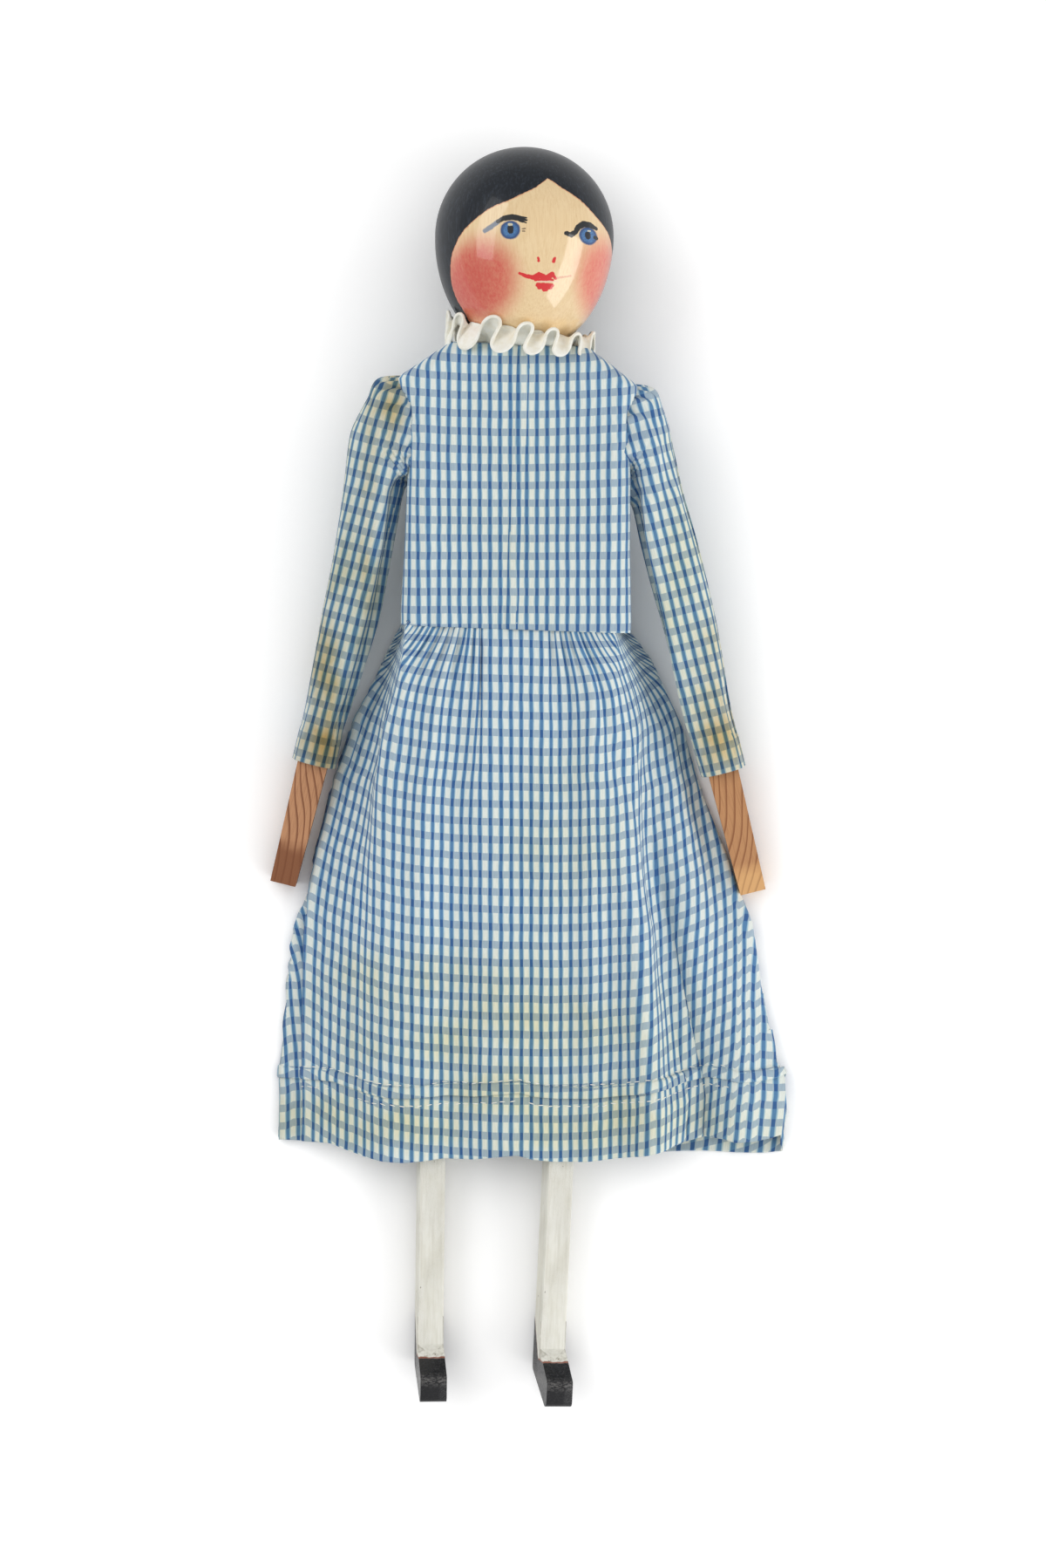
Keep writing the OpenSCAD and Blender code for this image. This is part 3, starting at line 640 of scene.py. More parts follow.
def painted_leg(name, side):
    """Off-white paint on wood, with the shoe painted black up to a slanted line."""
    mat, tree, shader, place = material(name, 0.55)
    local = stretch(tree, place, *LIMBS["leg", side])
    brush = streaks(tree, local, (900, 70, 900), 3, 0.6)
    cloudy = streaks(tree, local, (110, 60, 110), 3, 0.6)
    crackle = wire(tree, "ShaderNodeTexVoronoi", stretch(tree, local, (1100, 800, 1100)),
                   feature="DISTANCE_TO_EDGE")
    cracks = ramp(tree, crackle.outputs["Distance"], 0.02, 0.16, 1.0, 0.0)
    where = ramp(tree, streaks(tree, local, (90, 25, 90), 2, 0.5), 0.42, 0.62)
    cracks = times(tree, cracks, where)
    white = blend_colour(tree, ramp(tree, cloudy, 0.35, 0.7), LEG_WHITE, LEG_CLOUD)
    white = blend_colour(tree, ramp(tree, brush, 0.4, 0.75, 0.0, 0.35), white, LEG_BRUSHED)
    white = blend_colour(tree, times(tree, cracks, 0.4), white, LEG_CRACK)
    split = wire(tree, "ShaderNodeSeparateXYZ", local)
    # paint rubbed thin along the long edges
    edge = plus(tree, calc(tree, "ABSOLUTE", split.outputs[0]), calc(tree, "ABSOLUTE", split.outputs[2]))
    rubbed = times(tree, ramp(tree, edge, 9.05 * MM, 9.4 * MM),
                  ramp(tree, streaks(tree, local, (300, 90, 300), 3, 0.7), 0.42, 0.6))
    white = blend_colour(tree, times(tree, rubbed, 0.6), white, LEG_RUBBED)
    chips = ramp(tree, streaks(tree, local, (620, 380, 620), 2, 0.4), 0.74, 0.76)
    white = blend_colour(tree, times(tree, chips, 0.8), white, LEG_CHIP)
    forward = wire(tree, "ShaderNodeClamp", plus(tree, split.outputs[2], 4.75 * MM), 0.0, SHOE_FRONT).outputs[0]
    line = plus(tree, times(tree, forward, SHOE_SLOPE), SHOE_BACK)
    uneven = times(tree, minus(tree, noise(tree, local, 420.0, 1), 0.5), 0.0012)
    below = minus(tree, plus(tree, line, uneven), split.outputs[1])
    shoe = ramp(tree, below, -0.00008, 0.00008)
    rim = minus(tree, ramp(tree, below, -0.00055, -0.0003), shoe, clamp=True)
    scuff = streaks(tree, local, (700, 1300, 700), 5, 0.75)
    worn = ramp(tree, calc(tree, "ABSOLUTE", minus(tree, split.outputs[1], SHOE_WORN)), 3.2 * MM, 0.2 * MM)
    worn = times(tree, worn, ramp(tree, scuff, 0.42, 0.62))
    black = blend_colour(tree, ramp(tree, scuff, 0.5, 0.75), SHOE_BLACK, SHOE_SCUFF)
    black = blend_colour(tree, times(tree, worn, 0.75), black, SHOE_RUBBED)
    tone = blend_colour(tree, times(tree, rim, 0.9), white, SHOE_RIM)
    tone = blend_colour(tree, shoe, tone, black)
    tree.links.new(tone, shader.inputs["Base Color"])
    gloss = ramp(tree, scuff, 0.4, 0.7, 0.2, 0.42)
    rough = wire(tree, "ShaderNodeMapRange", shoe, 0.0, 1.0, 0.52, gloss).outputs[0]
    tree.links.new(rough, shader.inputs["Roughness"])
    height = plus(tree, times(tree, brush, 0.5),
                  times(tree, calc(tree, "MAXIMUM", chips, cracks), -0.8))
    bump(tree, shader, height, 0.35, 0.00018)
    return mat


leg_paint = {side: painted_leg("leg_paint_" + SIDE_NAMES[side], side) for side in (LEFT, RIGHT)}

# ---------------------------------------------------------------- head
HEAD_R, CHIN_DROP, CHIN_REACH = 31.75 * MM, 36.75 * MM, 41.5 * MM
DOWEL_HOLE_R, DOWEL_HOLE_DEPTH = 6.05 * MM, 24 * MM
HEAD_AT = Vector(JOINTS["head_turn"]["pos_m"])
BODY_UP = Vector(JOINTS["head_turn"]["axis"]).normalized()
BODY_OUT = Vector((1, 0, 0)).cross(BODY_UP)
FACE_RIGHT = Vector((ROLL_COS, ROLL_SIN, 0))
FACE_UP = Vector((-ROLL_SIN, ROLL_COS, 0))


def on_head(u, v):
    """Point of the head seen at a pixel, or on its outline where the pixel lies just outside."""
    z = HEAD_AT.z + HEAD_R * 0.8
    for _ in range(12):
        p = Vector(at(u, v, z)) - HEAD_AT
        side, up = p.x, p.dot(BODY_UP)
        reach = HEAD_R if up > 0 else CHIN_REACH
        room = HEAD_R ** 2 * (1 - (up / reach) ** 2) - side ** 2
        out = math.sqrt(max(room, 0))
        z = (HEAD_AT + up * BODY_UP + out * BODY_OUT).z
    return Vector(at(u, v, z)) - HEAD_AT


def face_place(u, v):
    """The same point in mm across and up the face, from the head's middle."""
    p = on_head(u, v)
    return (p.dot(FACE_RIGHT) / MM, p.dot(FACE_UP) / MM, 0.0)


FACE_MIDDLE = (612, 306)
FACE_PX = 3.28      # pixels of the photograph to a millimetre on the face
HAIRLINE = [
    (628.6, 204.2), (621.5, 209.6), (609, 217.4), (584, 229), (565, 237), (541, 255), (529, 268), (522, 282),
    (517, 304), (518, 325), (524, 343), (532, 357), (540, 371), (552, 384), (580, 396), (615, 400), (650, 394),
    (672, 380), (686, 362), (697, 340), (703, 318), (704, 302), (702, 286), (699, 271), (691, 257),
    (681, 245), (665, 229), (646, 216), (637, 209.8)]


def hairline_curve():
    """The hairline as an angle from the face's middle at each direction round it."""
    front = on_head(*FACE_MIDDLE).normalized()
    across = FACE_UP.cross(front).normalized()
    upward = front.cross(across).normalized()
    points = []
    for u, v in HAIRLINE:
        d = on_head(u, v).normalized()
        points.append((math.atan2(d.dot(upward), d.dot(across)) / (2 * math.pi) + 0.5,
                       math.acos(min(1, d.dot(front))) / math.pi))
    return front, across, upward, sorted(points), points[0][0]


# Paints of the head
SKIN = colour(246, 218, 172)
SKIN_GRAIN = colour(236, 204, 155)
SKIN_PATCH = colour(241, 211, 163)
SKIN_FLECK = colour(196, 156, 108)
IRIS_RIM = colour(42, 76, 128)
IRIS_DARK = colour(52, 98, 154)
IRIS_LIGHT = colour(84, 134, 184)
PUPIL = colour(22, 26, 34)
GLINT = colour(214, 206, 178)
# grey-blue painted on a black lash as a painted reflection of glare
LASH_REFLECTION_GREY = colour(112, 122, 138)
LASH = colour(24, 26, 28)
LASH_TICK = colour(92, 72, 56)
THIN_MOUTH = colour(206, 60, 60)
LIP_RED = colour(222, 44, 46)
LIP_GAP_SKIN = colour(240, 205, 180)
HAIRLINE_BROWN = colour(214, 120, 78)
HAIR_BLACK = colour(27, 32, 39)
HAIR_STRAND = colour(54, 62, 73)


def painted_head_material():
    mat, tree, shader, place = material("painted_head", 0.3, Coat_IOR=1.55, Coat_Roughness=0.08)
    shader.inputs["Specular IOR Level"].default_value = 0.2
    turn = Matrix.Rotation(-CAMERA_ROLL, 3, "Z")
    start = turn @ (HEAD_AT / MM)
    flat = stretch(tree, place, (1 / MM,) * 3, tuple(-start), (0, 0, -CAMERA_ROLL))
    face = vector(tree, "MULTIPLY", flat, (1, 1, 0))
    wobble = vector(tree, "SUBTRACT", noise(tree, flat, 0.9, 2, 0.6, "Color"), (0.5, 0.5, 0.5))
    brushed = vector(tree, "ADD", face, vector(tree, "MULTIPLY", wobble, (0.5, 0.5, 0)))

    def dabs(strokes, soft=0.12, thick=1.0):
        """One mask of several strokes: pixels from, pixels to, and the radius in pixels at each end."""
        mask = None
        for u0, v0, u1, v1, r0, r1 in strokes:
            one = use(tree, DAB, brushed, face_place(u0, v0), face_place(u1, v1),
                      thick * r0 / FACE_PX, thick * r1 / FACE_PX, soft)[0]
            mask = one if mask is None else calc(tree, "MAXIMUM", mask, one)
        return mask

    def spot(u, v, ru, rv, soft, source=None):
        return use(tree, SPOT, source or brushed, face_place(u, v), (ru / FACE_PX, rv / FACE_PX, 1.0), soft)[0]

    grain = streaks(tree, flat, (1.6, 0.05, 1.6), 4, 0.65)
    patch = streaks(tree, flat, (0.25, 0.08, 0.25), 2, 0.5)
    tone = blend_colour(tree, ramp(tree, grain, 0.35, 0.7), SKIN, SKIN_GRAIN)
    tone = blend_colour(tree, ramp(tree, patch, 0.4, 0.7, 0.0, 0.5), tone, SKIN_PATCH)
    fleck = ramp(tree, streaks(tree, flat, (3.0, 0.35, 3.0), 3, 0.7), 0.62, 0.75)
    tone = blend_colour(tree, times(tree, fleck, 0.35), tone, SKIN_FLECK)
    # rouge, with the right cheek's tint lighter as a painted reflection of the glare on it
    rub = ramp(tree, streaks(tree, flat, (0.9, 0.5, 0.9), 4, 0.7), 0.2, 0.8, 0.75, 1.05)
    for u, v, ru, rv, soft, strength, tint in ROUGE:
        mask = times(tree, spot(u, v, ru, rv, soft, face), times(tree, rub, strength))
        tone = blend_colour(tree, calc(tree, "MINIMUM", mask, 1.0), tone, tint)
    # eyes
    for u, v, ru, rv in IRISES:
        ring = spot(u, v, ru, rv, 0.10)
        inner = spot(u, v, ru * 0.74, rv * 0.74, 0.22)
        streak = noise(tree, flat, 2.6, 3, 0.6)
        blue = blend_colour(tree, inner, IRIS_RIM,
                            blend_colour(tree, ramp(tree, streak, 0.35, 0.65), IRIS_DARK, IRIS_LIGHT))
        tone = blend_colour(tree, ring, tone, blue)
    tone = blend_colour(tree, dabs(PUPILS), tone, PUPIL)
    tone = blend_colour(tree, dabs(GLINTS), tone, GLINT)
    # the left lash's outer tail is painted grey-blue: a painted reflection of the glare on it
    tone = blend_colour(tree, dabs(LASH_REFLECTION_STROKES, 0.25), tone, LASH_REFLECTION_GREY)
    tone = blend_colour(tree, dabs(LASHES, thick=1.22), tone, LASH)
    tone = blend_colour(tree, times(tree, dabs(LASH_TICKS), 0.8), tone, LASH_TICK)
    # nose and mouth
    tone = blend_colour(tree, times(tree, dabs(MOUTH_THIN, 0.2), 0.45), tone, THIN_MOUTH)
    tone = blend_colour(tree, dabs(LIPS), tone, LIP_RED)
    tone = blend_colour(tree, dabs(LIP_GAP), tone, LIP_GAP_SKIN)
    # hair
    front, across, upward, curve_points, parting = hairline_curve()
    away = vector(tree, "NORMALIZE", vector(tree, "SUBTRACT", place, tuple(HEAD_AT)))
    angle = calc(tree, "ARCTAN2", vector(tree, "DOT_PRODUCT", away, tuple(upward)),
                 vector(tree, "DOT_PRODUCT", away, tuple(across)))
    round_face = plus(tree, calc(tree, "DIVIDE", angle, 2 * math.pi), 0.5)
    curve = tree.nodes.new("ShaderNodeFloatCurve")
    tree.links.new(round_face, curve.inputs["Value"])
    line = curve.mapping.curves[0]
    wrap = (curve_points[0][1] + curve_points[-1][1]) / 2
    line.points[0].location = (0, wrap)
    line.points[1].location = (1, wrap)
    for x, y in curve_points:
        line.points.new(x, y)
    peak = min(line.points, key=lambda p: abs(p.location[0] - parting))
    peak.handle_type = "VECTOR"
    curve.mapping.update()
    from_front = calc(tree, "DIVIDE", calc(tree, "ARCCOSINE", vector(tree, "DOT_PRODUCT", away, tuple(front))), math.pi)
    shaky = times(tree, minus(tree, noise(tree, flat, 0.8, 2, 0.5), 0.5), 0.008)
    past = plus(tree, minus(tree, from_front, curve.outputs[0]), shaky)
    rim = ramp(tree, past, -0.006, -0.001)
    hair = ramp(tree, past, -0.0012, 0.0012)
    tone = blend_colour(tree, times(tree, rim, 0.6), tone, HAIRLINE_BROWN)
    strand = streaks(tree, flat, (1.2, 0.25, 1.2), 4, 0.7)
    dark = blend_colour(tree, ramp(tree, strand, 0.45, 0.8), HAIR_BLACK, HAIR_STRAND)
    tone = blend_colour(tree, hair, tone, dark)
    tree.links.new(tone, shader.inputs["Base Color"])
    rough = wire(tree, "ShaderNodeMapRange", hair, 0.0, 1.0, 0.34, 0.36).outputs[0]
    tree.links.new(rough, shader.inputs["Roughness"])
    coat = wire(tree, "ShaderNodeMapRange", hair, 0.0, 1.0, 0.95, 0.22).outputs[0]
    tree.links.new(coat, shader.inputs["Coat Weight"])
    height = plus(tree, times(tree, hair, 0.6), times(tree, strand, 0.25))
    bump(tree, shader, plus(tree, height, times(tree, grain, 0.12)), 0.3, 0.0002)
    return mat


# Paint strokes, in pixels of the photograph
# Rouge on the cheeks is real paint; the right cheek's lighter tint is a painted reflection of the glare on that cheek
ROUGE = [
    (549, 321, 44, 45, 0.40, 0.95, colour(214, 88, 74)),
    (541, 325, 24, 30, 0.7, 0.6, colour(205, 74, 64)),
    (697, 330, 35, 48, 0.42, 0.9, colour(228, 98, 88))]
IRISES = [(585.4, 263.6, 11.3, 10.6), (674.8, 270.6, 10.6, 10.0)]
PUPILS = [(585.6, 261.5, 585.8, 264.5, 3.6, 3.4), (674.2, 269.0, 674.4, 271.5, 3.2, 3.0)]
GLINTS = [(584.0, 257.4, 587.0, 257.2, 1.5, 1.3), (674.8, 264.6, 676.8, 265.0, 1.0, 0.9)]
# strokes of painted reflection on the left lash's tail
LASH_REFLECTION_STROKES = [(556.5, 264.5, 563, 260.5, 2.6, 2.8), (563, 260.5, 571, 254.5, 2.8, 2.8)]
LASHES = [
    (571, 254.0, 578, 250.2, 1.8, 2.4), (578, 250.2, 588, 248.8, 2.4, 2.8), (588, 248.8, 597, 250.6, 2.8, 2.6),
    (597, 250.6, 604.5, 252.6, 2.2, 0.8), (596, 248.8, 604, 249.8, 1.4, 0.7), (596, 252.4, 603.5, 255.4, 1.4, 0.7),
    (649.6, 267.4, 655.4, 269.2, 2.1, 2.4), (655.4, 269.2, 660.0, 266.2, 2.4, 2.2),
    (660.0, 266.2, 663.4, 260.4, 2.2, 2.6), (663.4, 260.4, 669.6, 256.9, 2.6, 3.0),
    (669.6, 256.9, 677, 258.2, 3.0, 2.8), (677, 258.2, 684, 262.4, 2.8, 1.6),
    (682.6, 272.4, 684.4, 273.4, 1.7, 1.6)]
LASH_TICKS = [(599.5, 262.4, 602.5, 262.0, 0.8, 0.8), (599.5, 264.8, 602.0, 264.8, 0.7, 0.7)]
LIPS = [
    (617.5, 295.7, 617.9, 299.0, 1.4, 1.7), (636.4, 296.4, 635.2, 299.8, 1.7, 2.0),
    (596.2, 313.4, 603, 316.4, 1.5, 2.3), (603, 316.4, 612, 318.2, 2.3, 2.6), (612, 318.2, 618.6, 316.0, 2.8, 3.6),
    (618.6, 314.4, 622.6, 317.0, 2.6, 3.4), (622.6, 318.4, 630, 318.4, 3.0, 3.0), (630, 317.0, 633.8, 314.2, 3.2, 2.6),
    (633.8, 315.0, 637.6, 319.4, 2.8, 1.4), (614, 321.0, 634, 321.4, 1.4, 1.6),
    (617.0, 326.9, 633.0, 327.3, 2.6, 2.4), (618.6, 328.8, 631.4, 329.2, 2.8, 2.6),
    (620.0, 328.8, 629.4, 329.2, 2.6, 2.4), (624.0, 331.2, 626.4, 331.4, 2.8, 2.6)]
MOUTH_THIN = [(638, 319.0, 655, 316.2, 1.3, 0.7)]
LIP_GAP = [(616.8, 322.8, 640.5, 322.8, 0.75, 0.6)]


def make_head():
    bpy.ops.object.select_all(action="DESELECT")
    bpy.ops.mesh.primitive_uv_sphere_add(segments=144, ring_count=96, radius=HEAD_R)
    head = named("painted_head", painted_head_material())
    co = points_of(head)
    co[:, 2] *= np.where(co[:, 2] < 0, CHIN_REACH / HEAD_R, 1)
    set_points(head, co)
    edit(head)
    bpy.ops.mesh.select_all(action="SELECT")
    bpy.ops.mesh.bisect(plane_co=(0, 0, -CHIN_DROP), plane_no=(0, 0, -1), use_fill=True, clear_outer=True)
    done()
    under_r = HEAD_R * math.sqrt(1 - (CHIN_DROP / CHIN_REACH) ** 2)
    pick(head, lambda c, n: n.z < -0.99 and abs(c.z + CHIN_DROP) < 1e-5)
    bpy.ops.mesh.inset(thickness=1.0 * MM)
    bpy.ops.mesh.inset(thickness=under_r - 1.0 * MM - DOWEL_HOLE_R)
    bpy.ops.mesh.extrude_region_move(TRANSFORM_OT_translate={"value": (0, 0, DOWEL_HOLE_DEPTH)})
    done()
    head.data.transform(Matrix((
        (1, 0, 0, HEAD_AT.x), (0, -BODY_OUT.y, BODY_UP.y, HEAD_AT.y),
        (0, -BODY_OUT.z, BODY_UP.z, HEAD_AT.z), (0, 0, 0, 1))))
    smooth_by_angle(head, 35)
    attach(head, "head")
    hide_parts("head")


make_head()

# ---------------------------------------------------------------- neck frill
BODY_TOP = 150 * MM
HIP_TO_HEAD = 189.25 * MM
FRILL_WIDTH, FRILL_CLOTH, FRILL_ROLL = 12.5 * MM, 0.36 * MM, 0.42 * MM
FRILL_ROWS = 15         # rows of points between its seam and its rolled hem
FRILL_SEAM, FRILL_EDGE = (21.3 * MM, 12.8 * MM), (26.4 * MM, 24.3 * MM)
# Angles round the neck, from its right side by its front, at which the edge stands highest
FRILL_TOPS = [0.542, 1.196, 1.650, 2.007, 2.414, 2.93, 3.37, 3.80, 4.23, 4.66, 5.09, 5.53, 5.96, 6.38]


def in_body(x, y, z):
    """A point given across, up and out of the body block, from the middle of its hip line."""
    x, y, z = (np.asarray(a, float) for a in (x, y, z))
    hip = HEAD_AT - HIP_TO_HEAD * BODY_UP
    return np.stack(np.broadcast_arrays(
        x, hip.y + y * BODY_UP.y + z * BODY_OUT.y, hip.z + y * BODY_UP.z + z * BODY_OUT.z), -1)


def make_frill():
    """A gathered strip round the neck: its seam is drawn up, its free edge swings up to the chin
    and down over the bodice in leaning loops, and it ends in a rolled hem."""
    count, per_loop = len(FRILL_TOPS), 72
    turns = np.linspace(0, count, per_loop * count + 1)
    around = np.interp(turns, range(count + 1), FRILL_TOPS + [FRILL_TOPS[0] + 2 * math.pi])
    even = turns * 2 * math.pi / count
    around = even + blur(around - even, 1 / per_loop, 0.25)
    draw = np.random.default_rng(5)
    sizes = np.append(draw.uniform(-0.32, 0.22, count), 0)
    size = 1 + blur(np.interp(turns, range(count + 1), sizes), 1 / per_loop, 0.3)
    phase = 2 * math.pi * turns
    s = np.linspace(0, 1, FRILL_ROWS)[:, None]
    swing = s ** 1.15 * size
    shift = swing * (-2.1 * (1 - np.cos(phase)) + 1.35 * np.sin(2 * phase)) * MM
    angle = around + 0.03 + shift / FRILL_EDGE[0]
    high = (1 + np.cos(phase)) / 2
    spread = high * s ** 0.85 + (1 - high) * (0.25 * s + 0.75 * s ** 2)
    half_x = FRILL_SEAM[0] + (FRILL_EDGE[0] - 0.5 * MM * np.cos(phase) - FRILL_SEAM[0]) * spread
    half_z = FRILL_SEAM[1] + (FRILL_EDGE[1] - 0.9 * MM * np.cos(phase) - FRILL_SEAM[1]) * spread
    tucked = 0.45 * MM * (1 - s) * np.sin(3 * phase)
    side_tilt = -1.6 * MM * s * -np.cos(angle)
    stands, flops = 8.4 * s, 7.5 * np.sin(0.9 * math.pi * s) - 5.0 * s ** 2
    y = BODY_TOP + 0.9 * MM + size * (high * stands + (1 - high) * flops) * MM + side_tilt
    x, z = -(half_x + tucked) * np.cos(angle), (half_z + tucked) * np.sin(angle)
    # it keeps clear of the head
    chin = np.clip(1 - ((y - HIP_TO_HEAD) / CHIN_REACH) ** 2, 0, 1)
    near = np.where(y > HIP_TO_HEAD - CHIN_DROP - 0.6 * MM, HEAD_R * np.sqrt(chin) + 0.6 * MM, 0)
    grow = np.maximum(near / np.hypot(x, z), 1)
    x, z = x * grow, z * grow
    points = in_body(x, y, z)
    down = points[-1] - points[-2]
    down /= np.linalg.norm(down, axis=1, keepdims=True)
    along = np.roll(points[-1, :-1], -1, axis=0) - np.roll(points[-1, :-1], 1, axis=0)
    along = np.append(along, along[:1], axis=0)
    out = np.cross(along, down)
    out /= np.linalg.norm(out, axis=1, keepdims=True)
    turn = np.linspace(0.7, 5.2, 7)[:, None, None]
    roll = points[-1] + FRILL_ROLL * (out * (1 - np.cos(turn)) + down * np.sin(turn))
    points = np.concatenate([points, roll])
    points[..., 2] = np.maximum(points[..., 2], 0.6 * MM)
    run = float(np.linalg.norm(np.diff(points[FRILL_ROWS - 1], axis=0), axis=1).sum())
    width = np.concatenate([s[:, 0] * FRILL_WIDTH, FRILL_WIDTH + FRILL_ROLL * turn[:, 0, 0]])
    uv = np.stack(np.broadcast_arrays(turns[None] / count * run, width[:, None]), -1)
    frill = net("ruffled_frill", points, uv, frill_cotton, FRILL_CLOTH, closed=True, offset=0)
    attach(frill, "torso")
    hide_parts("neck_frill")


make_frill()

# ---------------------------------------------------------------- bodice
WAIST, HIP_EDGE, BODY_HEIGHT = 52 * MM, 8 * MM, 150 * MM
HIP_THICK, CHEST_THICK, CLOTH, CLOTH_GAP = 26 * MM, 30 * MM, 0.6 * MM, 0.3 * MM
# Height on the body, and the bodice's edge on the doll's right and left, in mm
BODICE_EDGE = [
    (46, 38.6, 42.4), (55, 38.8, 42.4), (80, 38.2, 41.0), (105, 38.0, 40.4), (116, 37.6, 39.6),
    (128, 39.2, 40.2), (134, 41.6, 41.4), (138, 42.6, 41.6), (149, 27.0, 26.0), (155, 20.0, 20.0)]
ARMHOLE_R = 13.5 * MM
# Height at which the cloth starts to turn over the shoulders, and the radius of that turn in mm
TURN_FROM, TURN_R = 145 * MM, 5.9
PLACKET_HALF = 1.9      # half width in mm of the lapped seam down the front
STITCH_LINE_AT = 69.5   # height on the body of the line of stitches across the front, in mm


def front_seam(v):
    """Where the front's seam runs, across from the body's middle, in mm, at a height on it."""
    return 0.2 + 0.0105 * (v - 52)


def block_thick(y):
    return HIP_THICK + (CHEST_THICK - HIP_THICK) * (y + HIP_EDGE) / (BODY_HEIGHT + HIP_EDGE)


def rounded_ring(right, left, half, round_r, steps):
    """Points round a rounded rectangle from the middle of its back by its left side,
    with the distance round it from the middle of its front."""
    corner = np.linspace(0, math.pi / 2, 9)
    spots = [(0, -half)]
    for cx, cz, a0 in ((left, -half, -math.pi / 2), (left, half, 0), (-right, half, math.pi / 2),
                       (-right, -half, math.pi)):
        x0, z0 = cx - math.copysign(round_r, cx), cz - math.copysign(round_r, cz)
        spots += [(x0 + round_r * math.cos(a0 + a), z0 + round_r * math.sin(a0 + a)) for a in corner]
    spots.append((0, -half))
    spots = np.array(spots)
    run = np.append(0, np.cumsum(np.hypot(*np.diff(spots, axis=0).T)))
    front = run[np.argmax(spots[:, 1] >= half - 1e-9)] + left - round_r
    # more points near the middle of the front, where the seam runs
    share = np.linspace(-1, 1, steps)
    places = np.where(share < 0, front * (1 + share), front + (run[-1] - front) * share)
    return np.interp(places, run, spots[:, 0]), np.interp(places, run, spots[:, 1]), front - places


def make_bodice():
    over_shoulder = 150.9 - TURN_R + TURN_R * np.sin(np.linspace(0.9, 1.55, 6))
    levels = np.concatenate([[50.6], np.arange(51.2, 150, 1.6), over_shoulder]) * MM
    levels = np.unique(np.round(levels, 7))
    steps = 301
    grid, cloth, arcs = [], [], []
    for y in levels:
        right, left = (np.interp(y / MM, [e[0] for e in BODICE_EDGE], [e[i] for e in BODICE_EDGE]) * MM
                       for i in (1, 2))
        over = max(0.0, y - TURN_FROM)
        shrink = TURN_R * MM - math.sqrt(max((TURN_R * MM) ** 2 - over ** 2, 0))
        half = block_thick(min(y, TURN_FROM)) / 2 + CLOTH_GAP + CLOTH - shrink
        x, z, arc = rounded_ring(right, left, half, min(7 * MM, half * 0.6), steps)
        u, v = arc / MM, y / MM
        front = smooth((z / half + 0.2) / 0.8)
        fine = ripple(u * 0.22, np.full_like(u, v * 0.05), 3) * 0.12 + ripple(u * 0.5, v * 0.2, 4) * 0.05
        # soft folds below the right armhole, below the left one, and from the right shoulder inwards
        below_right = bell((u + 30.0 + 0.03 * (v - 60)) / 2.4) * smooth((v - 56) / 40)
        below_left = bell((u - 33 - 0.04 * (v - 60)) / 2.4) * smooth((v - 60) / 40)
        inwards = bell((u + 22 + 0.12 * (v - 110)) / 2.6) * smooth((v - 84) / 20) * smooth((140 - v) / 20)
        side_fold = 1.3 * below_right * (1 - 0.6 * smooth((v - 100) / 20)) + 0.9 * below_left + 0.8 * inwards
        pucker = 0.35 * np.sin(v * 1.15 + u * 0.3) * bell((np.abs(u) - 37) / 4.5) * smooth((v - 104) / 8)
        waist = 0.35 * ripple(u * 0.55, np.full_like(u, 1.0), 8) * smooth((62 - v) / 12)
        placket = u - front_seam(v)
        seam = 0.5 * smooth((PLACKET_HALF - np.abs(placket)) / 0.5)
        grow = (fine + side_fold + pucker + waist + seam) * front + 0.1
        # smooth and close where the upper arm swings past
        grow *= 1 - smooth((np.abs(u) - 35.5) / 3) * smooth((v - 92) / 8)
        length = np.hypot(x, z * 3) + 1e-9
        x, z = x + grow * MM * x / length * 0.3, z + grow * MM * np.sign(z) * np.clip(np.abs(z) / half, 0, 1)
        grid.append(in_body(x, y, z))
        arcs.append(u)
        turned = u * ROLL_COS + (v - WAIST / MM) * ROLL_SIN
        bow = 0.0016 * (1 - np.clip(np.abs(u) / 34, 0, 1.4) ** 2) * smooth((v - 60) / 80)
        shift = np.where(placket > PLACKET_HALF, 1.5, np.where(placket > -PLACKET_HALF, 0.8, 0.0))
        cloth.append(np.stack([(turned + shift) * MM, y - u * ROLL_SIN * MM + bow], -1))
    bodice = net("bodice_cloth", np.array(grid), np.array(cloth), bodice_cotton)
    for side in (LEFT, RIGHT):
        hole = Vector(JOINTS["shoulder_" + SIDE_NAMES[side]]["pos_m"])
        pick(bodice, lambda c, n: c.x * side > 33 * MM and math.hypot(c.y - hole.y, c.z - hole.z) < ARMHOLE_R)
        bpy.ops.mesh.delete(type="FACE")
        done()
    modify(bodice, "SOLIDIFY", thickness=FABRIC, offset=-1.0)
    only(bodice)
    bpy.ops.object.shade_smooth()
    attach(bodice, "torso")
    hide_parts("bodice")
    grid, arcs = np.array(grid), np.array(arcs)
    heights = levels / MM
    spots = []
    for offset, gone in ((-1.5, [(0.2, 0.27), (0.55, 0.6)]), (1.5, [(0.0, 0.35), (0.6, 0.8)])):
        line, outs = [], []
        for r in range(1, len(levels) - 6):
            col = np.argmin(np.abs(arcs[r] - front_seam(heights[r]) - offset))
            line.append(grid[r, col])
            outs.append(outs_of(grid, r)[col])
        spots += along_line(line, outs, 2.7 * MM, gone, 3, 0.1 * MM)
    row = int(np.argmin(np.abs(heights - STITCH_LINE_AT)))
    cols = np.where((arcs[row] > -25) & (arcs[row] < 37))[0]
    spots += along_line(grid[row, cols], outs_of(grid, row)[cols], 3.3 * MM,
                        [(0.12, 0.2), (0.42, 0.5), (0.78, 0.83)], 4, 0.5 * MM)
    row = 2
    cols = np.where(np.abs(arcs[row]) < 38)[0]
    spots += along_line(grid[row, cols], outs_of(grid, row)[cols], 3.0 * MM, [], 5, 0.1 * MM)
    seams = stitches("bodice_stitches", spots)
    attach(seams, "torso")


make_bodice()

